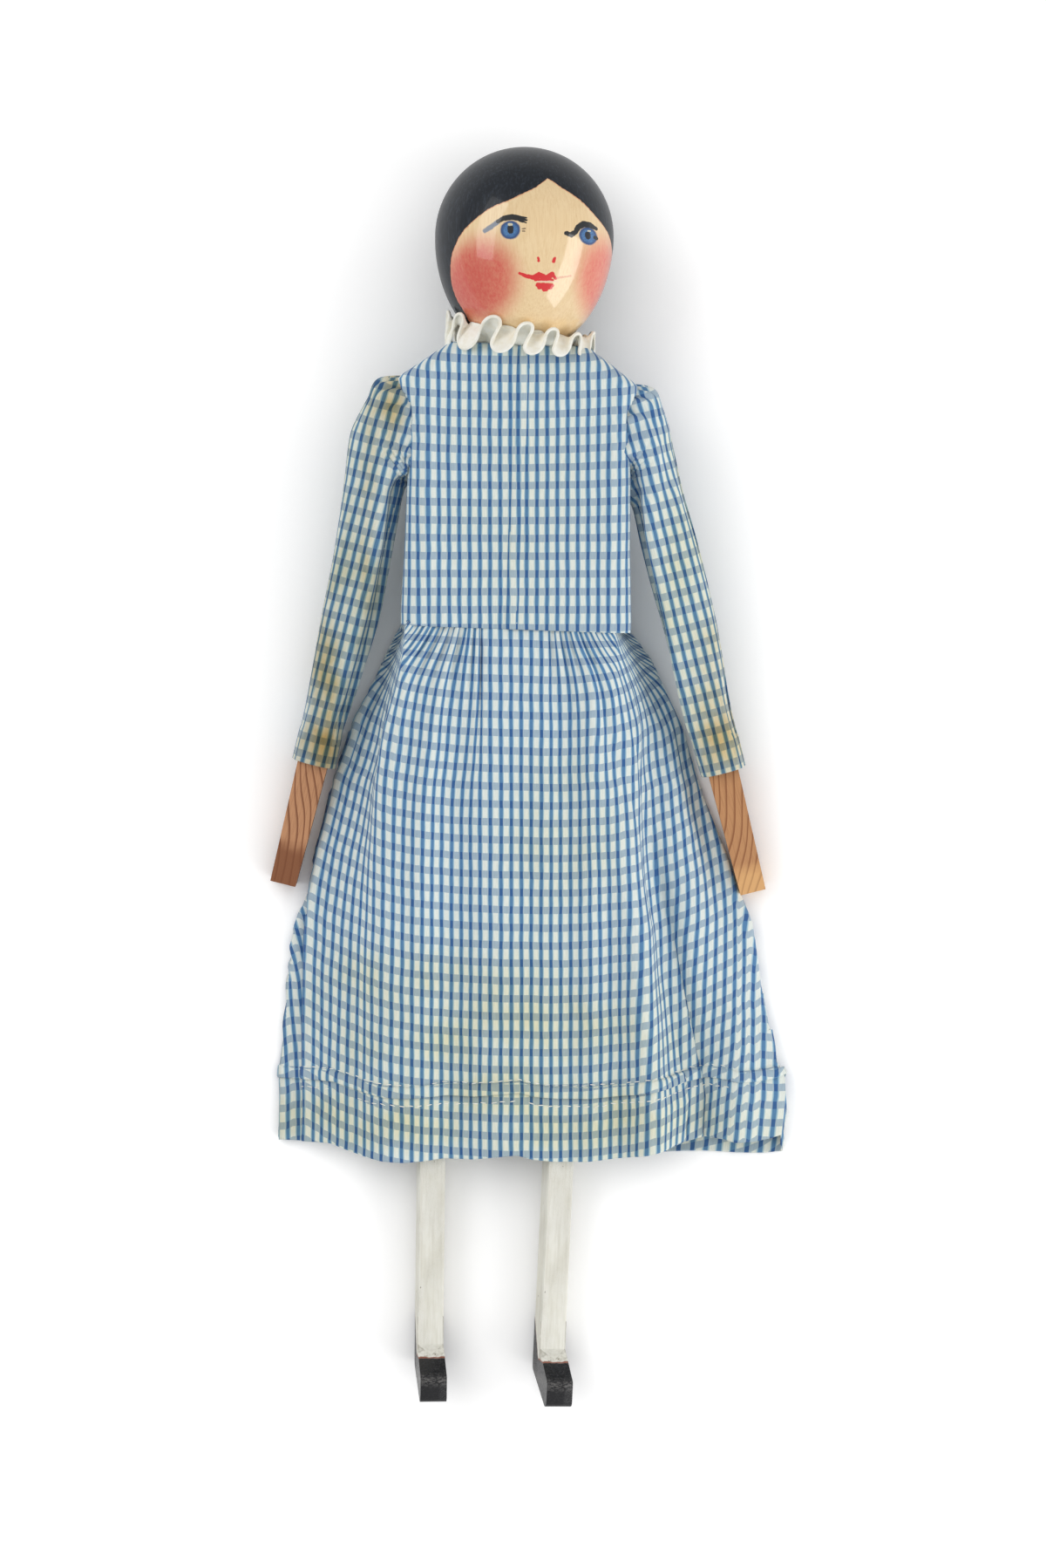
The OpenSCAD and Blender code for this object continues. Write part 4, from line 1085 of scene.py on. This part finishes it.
# ---------------------------------------------------------------- sleeves
SLEEVE_LENGTH, SLEEVE_EASE, ARMHOLE_HEIGHT, ARMHOLE_DEPTH = 131.0, 8.0, 34.0, 25.0
ARM_HALF, KNUCKLE = 5.5, 4.75
SLEEVE_SEAM = -4.9
CUFF_ROWS = 14          # rows of points in the sleeve's doubled hem
# Place along the sleeve, ease in front, then ease outside and inside of the left arm and of the right
SLEEVE_ROWS = [
    (0.23, 0.80, 0.62, 0.29, 0.92, 0.34), (0.34, 0.72, 0.64, 0.38, 0.74, 0.45),
    (0.45, 0.62, 0.63, 0.38, 0.56, 0.52), (0.57, 0.55, 0.61, 0.28, 0.44, 0.56),
    (0.69, 0.45, 0.51, 0.22, 0.33, 0.44), (0.80, 0.36, 0.36, 0.20, 0.26, 0.35),
    (0.91, 0.30, 0.29, 0.20, 0.22, 0.24), (1, 0.30, 0.27, 0.20, 0.21, 0.29)]
# Outer edge along the arm, inner edge down and out from the seam, depth, then the outer edge out
# from the left arm's line and from the right one's
SLEEVE_HEAD = [
    (-0.24, 0.685, 0.01, 0.96, 0.24, 0.29), (-0.02, 0.70, 0.02, 1, 0.29, 0.35),
    (0.20, 0.72, 0.03, 0.98, 0.32, 0.40), (0.42, 0.78, 0.05, 0.92, 0.32, 0.43)]
# Place along the sleeve in mm and angle round it, from its outer edge by its front, of its main ridge
SLEEVE_RIDGE = {
    RIGHT: [(8, 2.25), (15, 2.1), (21, 1.85), (29, 1.75), (46, 1.88), (72, 1.82), (104, 1.75), (131, 1.65)],
    LEFT: [(4, 1.8), (10, 1.5), (17, 1.42), (25, 1.62), (30, 1.85), (41, 2.05), (65, 2.2), (90, 2.5), (131, 2.6)]}


def shoulder_frame(side):
    """Where the shoulder is, and its rotation, with its splay."""
    tag = SIDE_NAMES[side]
    at_shoulder = Vector(JOINTS["shoulder_" + tag]["pos_m"])
    down = Vector(JOINTS["elbow_" + tag]["pos_m"]) - at_shoulder
    tilt = math.atan2(-down.z, -down.y)
    flat = Matrix.Rotation(-tilt, 3, "X") @ down
    return at_shoulder, Matrix.Rotation(tilt, 3, "X"), math.atan2(side * flat.x, -flat.y)


def smooth_rows(rows, count, power=1.0):
    """Catmull-Rom rows through the key rows."""
    rows = np.array(rows, float)
    keys = np.linspace(0, 1, count) ** power * (len(rows) - 1)
    i = np.minimum(keys.astype(int), len(rows) - 2)
    t = (keys - i)[:, None]
    p0, p1, p2, p3 = (rows[np.clip(i + d, 0, len(rows) - 1)] for d in (-1, 0, 1, 2))
    return 0.5 * (2 * p1 + (p2 - p0) * t + (2 * p0 - 5 * p1 + 4 * p2 - p3) * t ** 2
                  + (3 * p1 - p0 - 3 * p2 + p3) * t ** 3)


def make_sleeve(side):
    place, turn, splay = shoulder_frame(side)
    tag = SIDE_NAMES[side]

    def spot(along, out):
        return (side * (along * math.sin(splay) + out * math.cos(splay)),
                out * math.sin(splay) - along * math.cos(splay))

    rise = ARMHOLE_HEIGHT * 0.33
    keys = [(side * SLEEVE_SEAM, rise - ARMHOLE_HEIGHT, side * SLEEVE_SEAM, rise, ARMHOLE_DEPTH / 2)]
    head_out, ease_out = (4, 2) if side == LEFT else (5, 4)
    for h in SLEEVE_HEAD:
        keys.append((side * (SLEEVE_SEAM + h[2] * ARMHOLE_HEIGHT), -h[1] * ARMHOLE_HEIGHT,
                     *spot(h[0] * ARMHOLE_HEIGHT, h[head_out] * ARMHOLE_HEIGHT), h[3] * ARMHOLE_DEPTH / 2))
    for e in SLEEVE_ROWS:
        keys.append((*spot(e[0] * SLEEVE_LENGTH, -ARM_HALF - e[ease_out + 1] * SLEEVE_EASE),
                     *spot(e[0] * SLEEVE_LENGTH, ARM_HALF + e[ease_out] * SLEEVE_EASE),
                     KNUCKLE + e[1] * SLEEVE_EASE))
    rows = smooth_rows(keys, 150)
    n = 121
    a = np.linspace(0, 2 * math.pi, n)
    draw = np.random.default_rng(20 + side)
    gather = np.cumsum(draw.uniform(0.7, 1.3, n))
    gather = (gather - gather[0]) / (gather[-1] - gather[0]) * 2 * math.pi
    grid, cloth = [], []
    for r, (ix, iy, ox, oy, deep) in enumerate(rows):
        share = r / (len(rows) - 1)
        mid, half = np.array([(ix + ox) / 2, (iy + oy) / 2]), math.hypot(ox - ix, oy - iy) / 2
        way = np.array([ox - ix, oy - iy]) / (2 * half)
        power = 0.6 + 0.22 * smooth(share / 0.4)
        c = np.abs(np.cos(a)) ** power * np.sign(np.cos(a))
        s = np.abs(np.sin(a)) ** power * np.sign(np.sin(a))
        down_arm = mid[0] * side * math.sin(splay) - mid[1] * math.cos(splay)
        cap = bell(share / 0.15)
        seam_in = smooth(share / 0.03)
        folds = cap * seam_in * 0.75 * np.sin(20 * gather + 2.2 * np.sin(3 * a)) - 0.35 * cap
        top = np.interp(down_arm, *zip(*SLEEVE_RIDGE[side]))
        raised = smooth((down_arm + 2) / 14) * (1 - 0.45 * smooth((down_arm - 45) / 50))
        raised *= smooth((128 - down_arm) / 20)
        ridge = 2.1 * raised * bell((a - top) / 0.26)
        hollow = -1.7 * raised * bell((a - top - 0.62) / 0.3) - 0.5 * raised * bell((a - top + 0.6) / 0.35)
        soft = 0.5 * ripple(a * 1.2, np.full_like(a, share * 9.0), 31 + side) * smooth((share - 0.1) / 0.2)
        soft *= 1 - 0.6 * smooth((share - 0.85) / 0.1)
        pit = 0.8 * np.sin(share * 120 + 3 * np.cos(a)) * bell((share - 0.24) / 0.09) \
            * bell((a - math.pi + 0.5) / 0.9)
        grow = folds + ridge + hollow + soft + pit
        half_c, deep_c = half + grow, deep + grow
        flat_x = mid[0] + c * half_c * way[0]
        flat_y = mid[1] + c * half_c * way[1]
        high = s * deep_c * (1 - 0.42 * raised * smooth((a - top - 0.1) / 0.6) * (s > 0))
        over_arm = np.abs(flat_x * side * math.cos(splay) + flat_y * math.sin(splay)) < ARM_HALF + 0.4
        high = np.where((s > 0) & over_arm & (down_arm > -4), np.maximum(high, KNUCKLE + 0.9), high)
        grid.append(np.stack([flat_x, flat_y, high], -1))
    grid = np.array(grid)
    # cuff: a doubled hem that stands a little proud and turns inside
    middle = grid.mean(1, keepdims=True)
    cuff = np.array([0.0] * (len(grid) - CUFF_ROWS) + [0.0, 0.25] + [0.3] * (CUFF_ROWS - 3) + [0.25])
    outward = grid - middle
    outward /= np.linalg.norm(outward, axis=-1, keepdims=True) + 1e-9
    grid = grid + outward * cuff[:, None, None]
    step = np.diff(grid, axis=1)
    along_way = np.array([side * math.sin(splay), -math.cos(splay), 0])
    across = step - (step @ along_way)[..., None] * along_way
    arc = np.concatenate([np.zeros((len(grid), 1)), np.cumsum(np.linalg.norm(across, axis=-1), 1)], 1)
    top = n // 4
    out_way = np.array([side * math.cos(splay), math.sin(splay), 0])
    arc = arc - arc[:, top:top + 1] - (grid[:, top] @ out_way)[:, None]
    down = grid @ along_way
    uv = np.stack([arc * MM * side, -down * MM], -1)
    world = (grid.reshape(-1, 3) * MM) @ np.array(turn).T + np.array(place)
    world = world.reshape(grid.shape)
    if side == RIGHT:
        world, uv = world[:, ::-1], uv[:, ::-1]
    sleeve = net("sleeve_cloth_" + tag, world[::-1], uv[::-1], sleeve_cotton[side])
    edit(sleeve)
    bpy.ops.mesh.select_all(action="SELECT")
    bpy.ops.mesh.remove_doubles(threshold=1e-7)
    done()
    modify(sleeve, "SOLIDIFY", thickness=FABRIC, offset=-1.0)
    only(sleeve)
    bpy.ops.object.shade_smooth()
    elbow = Vector(JOINTS["elbow_" + tag]["pos_m"])
    way = (elbow - place).normalized() * 13 * MM
    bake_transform(sleeve)
    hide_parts("sleeve_" + tag)
    net_rows = world.reshape(grid.shape)
    row = len(rows) - CUFF_ROWS + 1
    front = np.arange(4, n // 2 - 3)
    seams = stitches("cuff_stitches_" + tag,
                     along_line(net_rows[row, front], outs_of(net_rows, row)[front], 2.9 * MM, [], 6))
    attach(seams, "forearm_" + tag)


for side in (LEFT, RIGHT):
    make_sleeve(side)

# ---------------------------------------------------------------- skirt
SKIRT_LENGTH, TABLE_GAP, HIP_HALF, LEG_SIDE = 193.0, 0.9, 36.0, 9.5
HIP_Z = float((HEAD_AT - HIP_TO_HEAD * BODY_UP).z / MM)
HIP_OFFSET = abs(JOINTS["hip_left"]["pos_m"][0]) / MM
BODY_SIN, BODY_COS = BODY_UP.z, BODY_UP.y
LEG_FALL, LEG_DROP = 0.0391, 5.70
WAIST_Y = 52.0 * BODY_COS
TUCK_AT, TUCK_DEEP = 0.882, 0.024
# Share of the length, front edge on the left, on the right, and the back layer's on the right, in mm
SKIRT_EDGE = [
    (0, 42.1, 39.0, 39.0), (0.07, 52.1, 45.1, 45.1), (0.19, 63.7, 54.6, 54.6), (0.32, 72.3, 62.0, 62.0),
    (0.44, 80.6, 67.3, 67.3), (0.50, 84.3, 68.4, 68.6), (0.57, 90.2, 69.9, 73.5), (0.69, 96.0, 70.1, 77.0),
    (0.82, 101.9, 69.4, 78.2), (0.92, 106.7, 69.0, 78.6), (1, 105.2, 68.8, 78.4)]
HEM_LINE = [
    (344, 1310), (380, 1312), (399, 1319), (416, 1325), (437, 1330), (463, 1332), (486, 1330), (509, 1327),
    (542, 1328), (570, 1325), (593, 1323), (610, 1328), (637, 1331), (672, 1331), (709, 1327), (741, 1323),
    (764, 1318), (787, 1310), (810, 1305), (832, 1307), (844, 1311), (867, 1310), (885, 1307), (898, 1303),
    (909, 1294)]
BACK_HEM_Y = -137.0     # level of the hem behind, which follows the front's by a fifth
PLEAT_AT = -13.5        # where the sharp pleat left of the middle runs, on the flat cloth
CLOTH_ROUND, CLOTH_FRONT = 372.0, 93.0     # flat width of the skirt, joined in a ring, and half of its front's
FINE_GATHER, BROAD_FOLD = 7.0, 21.0
# Main folds, as in the model's source: place across the front at the waist and at the hem,
# and width, as shares of the skirt's half width, and height as a share of the fold height
FOLD_HEIGHT = 6.0
SKIRT_FOLDS = [
    (-0.85, -0.80, 0.08, 0.7), (-0.45, -0.50, 0.10, 0.3), (-0.10, 0.05, 0.10, 0.35),
    (0.50, 0.56, 0.075, 1.25), (0.62, 0.69, 0.06, -1.6), (0.85, 0.84, 0.08, 0.6)]
# Share of the length, and how steeply the gathers between the main folds stand, in radians
GATHERS = [(0, 1.55), (0.05, 1.35), (0.12, 1.0), (0.2, 0.72), (0.3, 0.5), (0.5, 0.36), (0.75, 0.26), (1, 0.22)]


def body_height_at(y, z):
    return HIP_Z + y * BODY_SIN + z * BODY_COS


def skirt_levels(y):
    """Height of the wood's front, its half width, and the height of the cloth's back."""
    fall = smooth((-y - 8.0) / 52.0)
    at_y = max(y, -8.0)
    thick = 26 + 4 * (at_y + 8) / 158
    leg = HIP_Z + min(y, 0) * LEG_FALL + LEG_DROP
    front = body_height_at(at_y, thick / 2) * (1 - fall) + leg * fall
    half = (HIP_HALF + TABLE_GAP + 0.3) * (1 - fall) + (HIP_OFFSET + LEG_SIDE) * fall
    return front, half, max(0.0, body_height_at(at_y, -thick / 2) - 2 * TABLE_GAP)


def skirt_ring(share):
    """Line round the skirt with its main folds, from the middle of its back by its right side,
    in mm, and the distance round it from the middle of its front."""
    y = WAIST_Y - share * SKIRT_LENGTH
    front, held, back = skirt_levels(y)
    back += 0.9 * smooth((share - 0.4) / 0.6) + 0.05
    left, right, under = (np.interp(share, [e[0] for e in SKIRT_EDGE], [e[i] for e in SKIRT_EDGE])
                          for i in (1, 2, 3))
    drawn_in = 0.8 * (1 - smooth(share / 0.03))
    top = front + 1.5 - 1.1 * (1 - smooth(share / 0.03))

    def side(edge, sign):
        edge = edge - drawn_in
        x = np.linspace(0, edge - 2.0, 160)
        fall = smooth((x - held) / max(edge * 0.94 - held, 1.6))
        u = sign * x / edge
        folds = share * FOLD_HEIGHT * sum(f[3] * bell((u - f[0] - (f[1] - f[0]) * share) / f[2]) for f in SKIRT_FOLDS)
        return x, top * (1 - fall) + (back + 4.2) * fall + np.maximum(folds, -fall * 8.0)

    xl, zl = side(left, 1)
    xr, zr = side(right, -1)
    left, right, under = left - drawn_in, right - drawn_in, under - drawn_in
    zfold = (under - right) / 8.0
    tail = [(-right, back + 3.5), (-right + 0.8, back + 2.8), (-right + 1.0 + 7 * zfold, back + 2.5),
            (-right + 1.1 + 7 * zfold, back + 2.2), (-under + 1.2, back + 1.7), (-under, back + 0.9),
            (-under + 1.0, back)]
    turn = [(left - 0.5, back + 3.6), (left, back + 2.2), (left - 0.4, back + 0.7), (left - 1.8, back)]
    over = list(zip(-xr[::-1], zr[::-1])) + list(zip(xl[1:], zl[1:]))
    points = np.array([(0, back)] + tail[::-1] + over + turn + [(0, back)])
    run = np.append(0, np.cumsum(np.hypot(*np.diff(points, axis=0).T)))
    return points, run - run[len(tail) + len(xr)], y, front, held


def skirt_rows():
    """Places of the net's rows down the skirt, with how far each stands off, through tuck and hem."""
    t0 = TUCK_AT - TUCK_DEEP
    rows = [(s, 0.0) for s in np.arange(0, 0.03, 0.005)] + [(s, 0.0) for s in np.arange(0.03, t0 - 0.004, 0.0082)]
    rows += [(t0 - 0.001, 0.05), (t0 + 0.002, 0.5), (t0 + 0.006, 0.95), (t0 + 0.013, 1.1), (t0 + 0.019, 1.15),
             (TUCK_AT - 0.0015, 1.1), (TUCK_AT, 0.85), (TUCK_AT - 0.001, 0.6), (TUCK_AT - 0.008, 0.5),
             (t0 + 0.003, 0.3), (t0 + 0.003, 0.0), (t0 + 0.012, -0.05), (TUCK_AT, 0.0)]
    rows += [(s, 0.0) for s in np.arange(TUCK_AT + 0.006, 0.992, 0.0082)]
    return rows + [(0.996, 0.1), (1.0, -0.1), (1.0005, -0.5), (0.998, -0.85), (0.988, -0.9), (0.975, -0.9)]


def make_skirt_net():
    """The skirt's cloth as a net of points with its flat places: rows from the waist to the hem."""
    step = 0.5
    c = np.arange(-CLOTH_ROUND / 2, CLOTH_ROUND / 2 + step / 2, step)
    draw = np.random.default_rng(7)
    wander = np.interp(c, np.linspace(c[0], c[-1], 60), draw.normal(0, 1.0, 60))
    fine = 2 * math.pi * (c + wander) / FINE_GATHER
    wander = np.interp(c, np.linspace(c[0], c[-1], 24), draw.normal(0, 3.0, 24))
    broad = 2 * math.pi * (c + wander) / BROAD_FOLD + 0.6
    column = np.concatenate([
        np.arange(-CLOTH_ROUND / 2, -CLOTH_FRONT - 6, 2.4), np.arange(-CLOTH_FRONT - 6, PLEAT_AT - 4, 0.85),
        np.arange(PLEAT_AT - 4, PLEAT_AT + 4, 0.4), np.arange(PLEAT_AT + 4, CLOTH_FRONT + 6, 0.85),
        np.arange(CLOTH_FRONT + 6, CLOTH_ROUND / 2, 2.4), [CLOTH_ROUND / 2]])
    pleat = bell((c - PLEAT_AT) / 2.3)
    hem = at([p[0] for p in HEM_LINE], [p[1] for p in HEM_LINE], 12 * MM) / MM
    grid, cloth, before, v = [], [], None, 0.0
    sides = smooth((np.abs(c + 1) - 9) / 7)
    front_part = np.abs(c) <= CLOTH_FRONT + 2
    for share, lift in skirt_rows():
        ring, run, y, front, held = skirt_ring(share)
        centre = 1.3 + 6.8 * share
        merge = smooth(share / 0.30)
        m = np.interp(share, [g[0] for g in GATHERS], [g[1] for g in GATHERS])
        theta = m * sides * ((1 - merge) * np.sin(fine) + merge * np.sin(broad))
        pinched = pleat * (1 - smooth((share - 0.08) / 0.30))
        q = np.cumsum(np.cos(theta) * (1 - 0.9 * pinched)) * step
        q += centre - np.interp(0.0, c, q)
        # behind the front, the cloth closes the ring evenly
        ends = q[front_part][0], q[front_part][-1]
        cs = c[front_part][0], c[front_part][-1]
        q = np.where(c < cs[0], run[0] + (c - c[0]) / (cs[0] - c[0]) * (ends[0] - run[0]), q)
        q = np.where(c > cs[1], ends[1] + (c - cs[1]) / (c[-1] - cs[1]) * (run[-1] - ends[1]), q)
        rise = np.cumsum(np.sin(theta)) * step
        rise = rise - blur(rise, step, 16.0)
        x, z = (np.interp(q, run, ring[:, i]) for i in (0, 1))
        tx, tz = (np.interp(q + 0.6, run, ring[:, i]) - np.interp(q - 0.6, run, ring[:, i]) for i in (0, 1))
        size = np.hypot(tx, tz) + 1e-9
        nx, nz = -tz / size, tx / size
        top = smooth((nz + 0.15) / 0.6)
        grown = smooth(share / 0.05)
        bulk = rise * (0.3 + 0.7 * grown) + 0.9 * grown
        bulk *= 1 - 0.75 * smooth((np.abs(x) - held + 7) / 6) * (1 - smooth((share - 0.1) / 0.15))
        bulk += 0.22 * ripple(c * 0.16, np.full_like(c, y * 0.11), 40) * grown + lift - 1.5 * pinched * grown
        x2, z2 = x + nx * bulk * top, z + nz * bulk * top
        least = np.where(np.abs(x2) < held, front + 0.3 + 0.8 * smooth(share / 0.03), 0.9) + lift * 0.6
        z2 = np.where(top > 0.3, np.maximum(z2, least), z2)
        hem_y = np.interp(x2, hem[:, 0], hem[:, 1])
        hem_y = np.where(top > 0.1, hem_y, hem_y * 0.2 + 0.8 * BACK_HEM_Y)
        lean = BODY_SIN * (1 - smooth(share / 0.35))
        y2 = WAIST_Y + (hem_y - WAIST_Y) * share - lean * (z2 - body_height_at(52.0, 0))
        row = np.stack([np.interp(column, c, a) for a in (x2, y2, np.maximum(z2, 0.03))], -1)
        plain = np.stack([np.interp(column, c, a) for a in (x, y2, z)], -1)
        row[-1] = row[0]
        if before is not None:
            v = v + np.linalg.norm(plain - before, axis=1)
        before = plain
        grid.append(row * MM)
        cloth.append(np.stack(np.broadcast_arrays((column + 1.2) * MM, -v * MM), -1))
    return np.array(grid), np.array(cloth), [r[0] for r in skirt_rows()], column


SPLIT_HALF, SPLIT_TOP, SPLIT_END = 15 * MM, 10 * MM, -35 * MM


def split_share(y):
    return SPLIT_HALF * max(0.0, min(1.0, (SPLIT_TOP - y) / (SPLIT_TOP - SPLIT_END)))


def keep_normals(piece):
    """Shades a cut piece as the whole cloth was, so that no cut shows."""
    mesh = piece.data
    whole = np.zeros(len(mesh.vertices) * 3)
    mesh.attributes["whole_normal"].data.foreach_get("vector", whole)
    whole = whole.reshape(-1, 3)
    mesh.shade_smooth()
    normals = []
    for face in mesh.polygons:
        for i in face.vertices:
            facing = face.normal.dot(Vector(whole[i]))
            flat = abs(facing) > 0.3
            normals.append(tuple(whole[i] * math.copysign(1, facing)) if flat else tuple(face.normal))
    mesh.normals_split_custom_set(normals)
    mesh.attributes.remove(mesh.attributes["whole_normal"])


def ride_leg(piece):
    """Bakes the piece's place into its mesh."""
    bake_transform(piece)


def rides_with_legs(obj, name):
    """Cuts cloth over both hips into four parts: on each side of the middle, one down the side and one next to the
    middle line."""
    made = []
    keep = obj.data.attributes.new("whole_normal", "FLOAT_VECTOR", "POINT")
    keep.data.foreach_set("vector", np.array([v.normal for v in obj.data.vertices]).ravel())
    cuts = [((0, 0, 0), (1, 0, 0))]
    for side in (LEFT, RIGHT):
        run = Vector((side * SPLIT_HALF, SPLIT_END - SPLIT_TOP, 0))
        cuts.append(((0, SPLIT_TOP, 0), (run.y, -run.x, 0)))
        cuts.append(((side * SPLIT_HALF, 0, 0), (1, 0, 0)))
    edit(obj)
    for place, normal in cuts:
        bpy.ops.mesh.select_all(action="SELECT")
        bpy.ops.mesh.bisect(plane_co=place, plane_no=normal, use_fill=False)
    done()
    for side in (LEFT, RIGHT):
        tag = SIDE_NAMES[side]
        for part, near in (("side", False), ("middle", True)):
            only(obj)
            bpy.ops.object.duplicate()
            piece = named(f"{name}_{part}_{tag}")
            pick(piece, lambda c, n: (c.x * side < 0) or ((abs(c.x) < split_share(c.y)) != near))
            bpy.ops.mesh.delete(type="FACE")
            done()
            modify(piece, "SOLIDIFY", thickness=FABRIC, offset=-1.0, use_even_offset=False)
            keep_normals(piece)
            ride_leg(piece)
            made.append(piece)
    bpy.data.objects.remove(obj)
    return made


def make_skirt():
    grid, cloth, shares, column = make_skirt_net()
    skirt = net("skirt_whole", grid, cloth, skirt_cotton)
    edit(skirt)
    bpy.ops.mesh.select_all(action="SELECT")
    bpy.ops.mesh.remove_doubles(threshold=1e-7)
    bpy.ops.mesh.normals_make_consistent(inside=False)
    done()
    pieces = rides_with_legs(skirt, "skirt_cloth")
    for piece in pieces:
        cut_size(piece)
    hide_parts("skirt")
    shares = np.array(shares)
    front = np.where(np.abs(column) < CLOTH_FRONT - 1)[0]
    spots = []
    for share, gone, seed in ((TUCK_AT - 0.026, [(0.3, 0.34), (0.7, 0.73)], 8),
                              (TUCK_AT + 0.016, [(0.12, 0.18), (0.5, 0.53)], 9)):
        row = int(np.argmin(np.abs(shares - share)))
        spots += along_line(grid[row, front], outs_of(grid, row)[front], 3.4 * MM, gone, seed, 0.25 * MM)
    for side in (LEFT, RIGHT):
        for part, near in (("side", False), ("middle", True)):
            mine = [p for p in spots if p[0][0] * side >= 0 and (abs(p[0][0]) < split_share(p[0][1])) == near]
            row = stitches(f"skirt_stitches_{part}_{SIDE_NAMES[side]}", mine)
            ride_leg(row)


make_skirt()

# ---------------------------------------------------------------- wooden limbs, block and pegs
for node, obj in frame["nodes"].items():
    side = LEFT if node.endswith("_left") else RIGHT
    if node.startswith(("upper_arm", "forearm")):
        finish = arm_wood[side]
    elif node.startswith(("thigh", "lower_leg")):
        finish = leg_paint[side]
    elif "peg" in node or node == "neck_dowel":
        finish = peg_wood
    elif node == "torso":
        finish = body_wood
    else:
        continue
    obj.data.materials.clear()
    obj.data.materials.append(finish)
    smooth_by_angle(obj, 35)

# ---------------------------------------------------------------- floor, lights and camera
ROOM_LIGHT = 0.56
# The table's glow to the camera, painted light that fades near the doll as painted shade by occlusion: its strength,
# how far that shade reaches into it, and how steeply
TABLE_GLOW, GLOW_REACH, GLOW_FALL = 0.42, 60 * MM, 2.4
SENSOR = 24

bpy.ops.object.select_all(action="DESELECT")
bpy.ops.mesh.primitive_plane_add(size=6, location=(0, 0, 0))
floor_mat, tree, shader, place = material("white_table", 0.9)
shader.inputs["Base Color"].default_value = colour(250, 250, 250)
shader.inputs["Specular IOR Level"].default_value = 0.1
shader.inputs["Emission Color"].default_value = (1, 1, 1, 1)
path = tree.nodes.new("ShaderNodeLightPath")
# the glow fades where ambient occlusion finds the doll close: painted shade on the table
open_floor = wire(tree, "ShaderNodeAmbientOcclusion", samples=8)
open_floor.inputs["Distance"].default_value = GLOW_REACH
glow = times(tree, calc(tree, "POWER", open_floor.outputs["AO"], GLOW_FALL), TABLE_GLOW)
tree.links.new(times(tree, path.outputs["Is Camera Ray"], glow), shader.inputs["Emission Strength"])
floor = named("floor", floor_mat)

world = bpy.data.worlds.new("studio") if not bpy.context.scene.world else bpy.context.scene.world
bpy.context.scene.world = world
world.use_nodes = True
world.node_tree.nodes["Background"].inputs["Color"].default_value = (1, 1, 1, 1)
world.node_tree.nodes["Background"].inputs["Strength"].default_value = ROOM_LIGHT


def lamp(name, way, distance, tall, wide, share):
    """A soft window of light: way is from the doll in the photograph's right, up and out."""
    d = Vector((way[0] * ROLL_COS - way[1] * ROLL_SIN, way[0] * ROLL_SIN + way[1] * ROLL_COS, way[2])).normalized()
    bpy.ops.object.light_add(type="AREA", location=d * distance, rotation=d.to_track_quat("Z", "Y").to_euler())
    light = bpy.context.view_layer.objects.active
    light.name = name
    light.data.shape, light.data.size, light.data.size_y = "RECTANGLE", tall, wide
    light.data.energy = share * math.pi ** 2 * distance ** 2 / max(d.z, 0.2)


lamp("left_window", (-0.68, 0.30, 0.67), 1.3, 1.4, 0.6, 0.23)
lamp("right_window", (0.84, -0.36, 0.40), 1.4, 1.4, 0.62, 0.20)

bpy.ops.object.camera_add(location=CAMERA_AT, rotation=(0, 0, CAMERA_ROLL))
camera = bpy.context.view_layer.objects.active
camera.name = "camera"
camera.data.sensor_fit = "VERTICAL"
camera.data.sensor_height = SENSOR
camera.data.lens = SENSOR * PX_FOCAL / PHOTO_SIZE[1]
bpy.context.scene.camera = camera
bpy.context.scene.view_settings.view_transform = "Standard"

# where each point of the cloth was sewn, so that its staining and painted shade go with it when a limb moves it
for obj in bpy.data.objects:
    if obj.type == "MESH" and "cloth" in obj.name:
        sewn = obj.data.attributes.new("sewn_at", "FLOAT_VECTOR", "POINT")
        sewn.data.foreach_set("vector", points_of(obj).ravel())
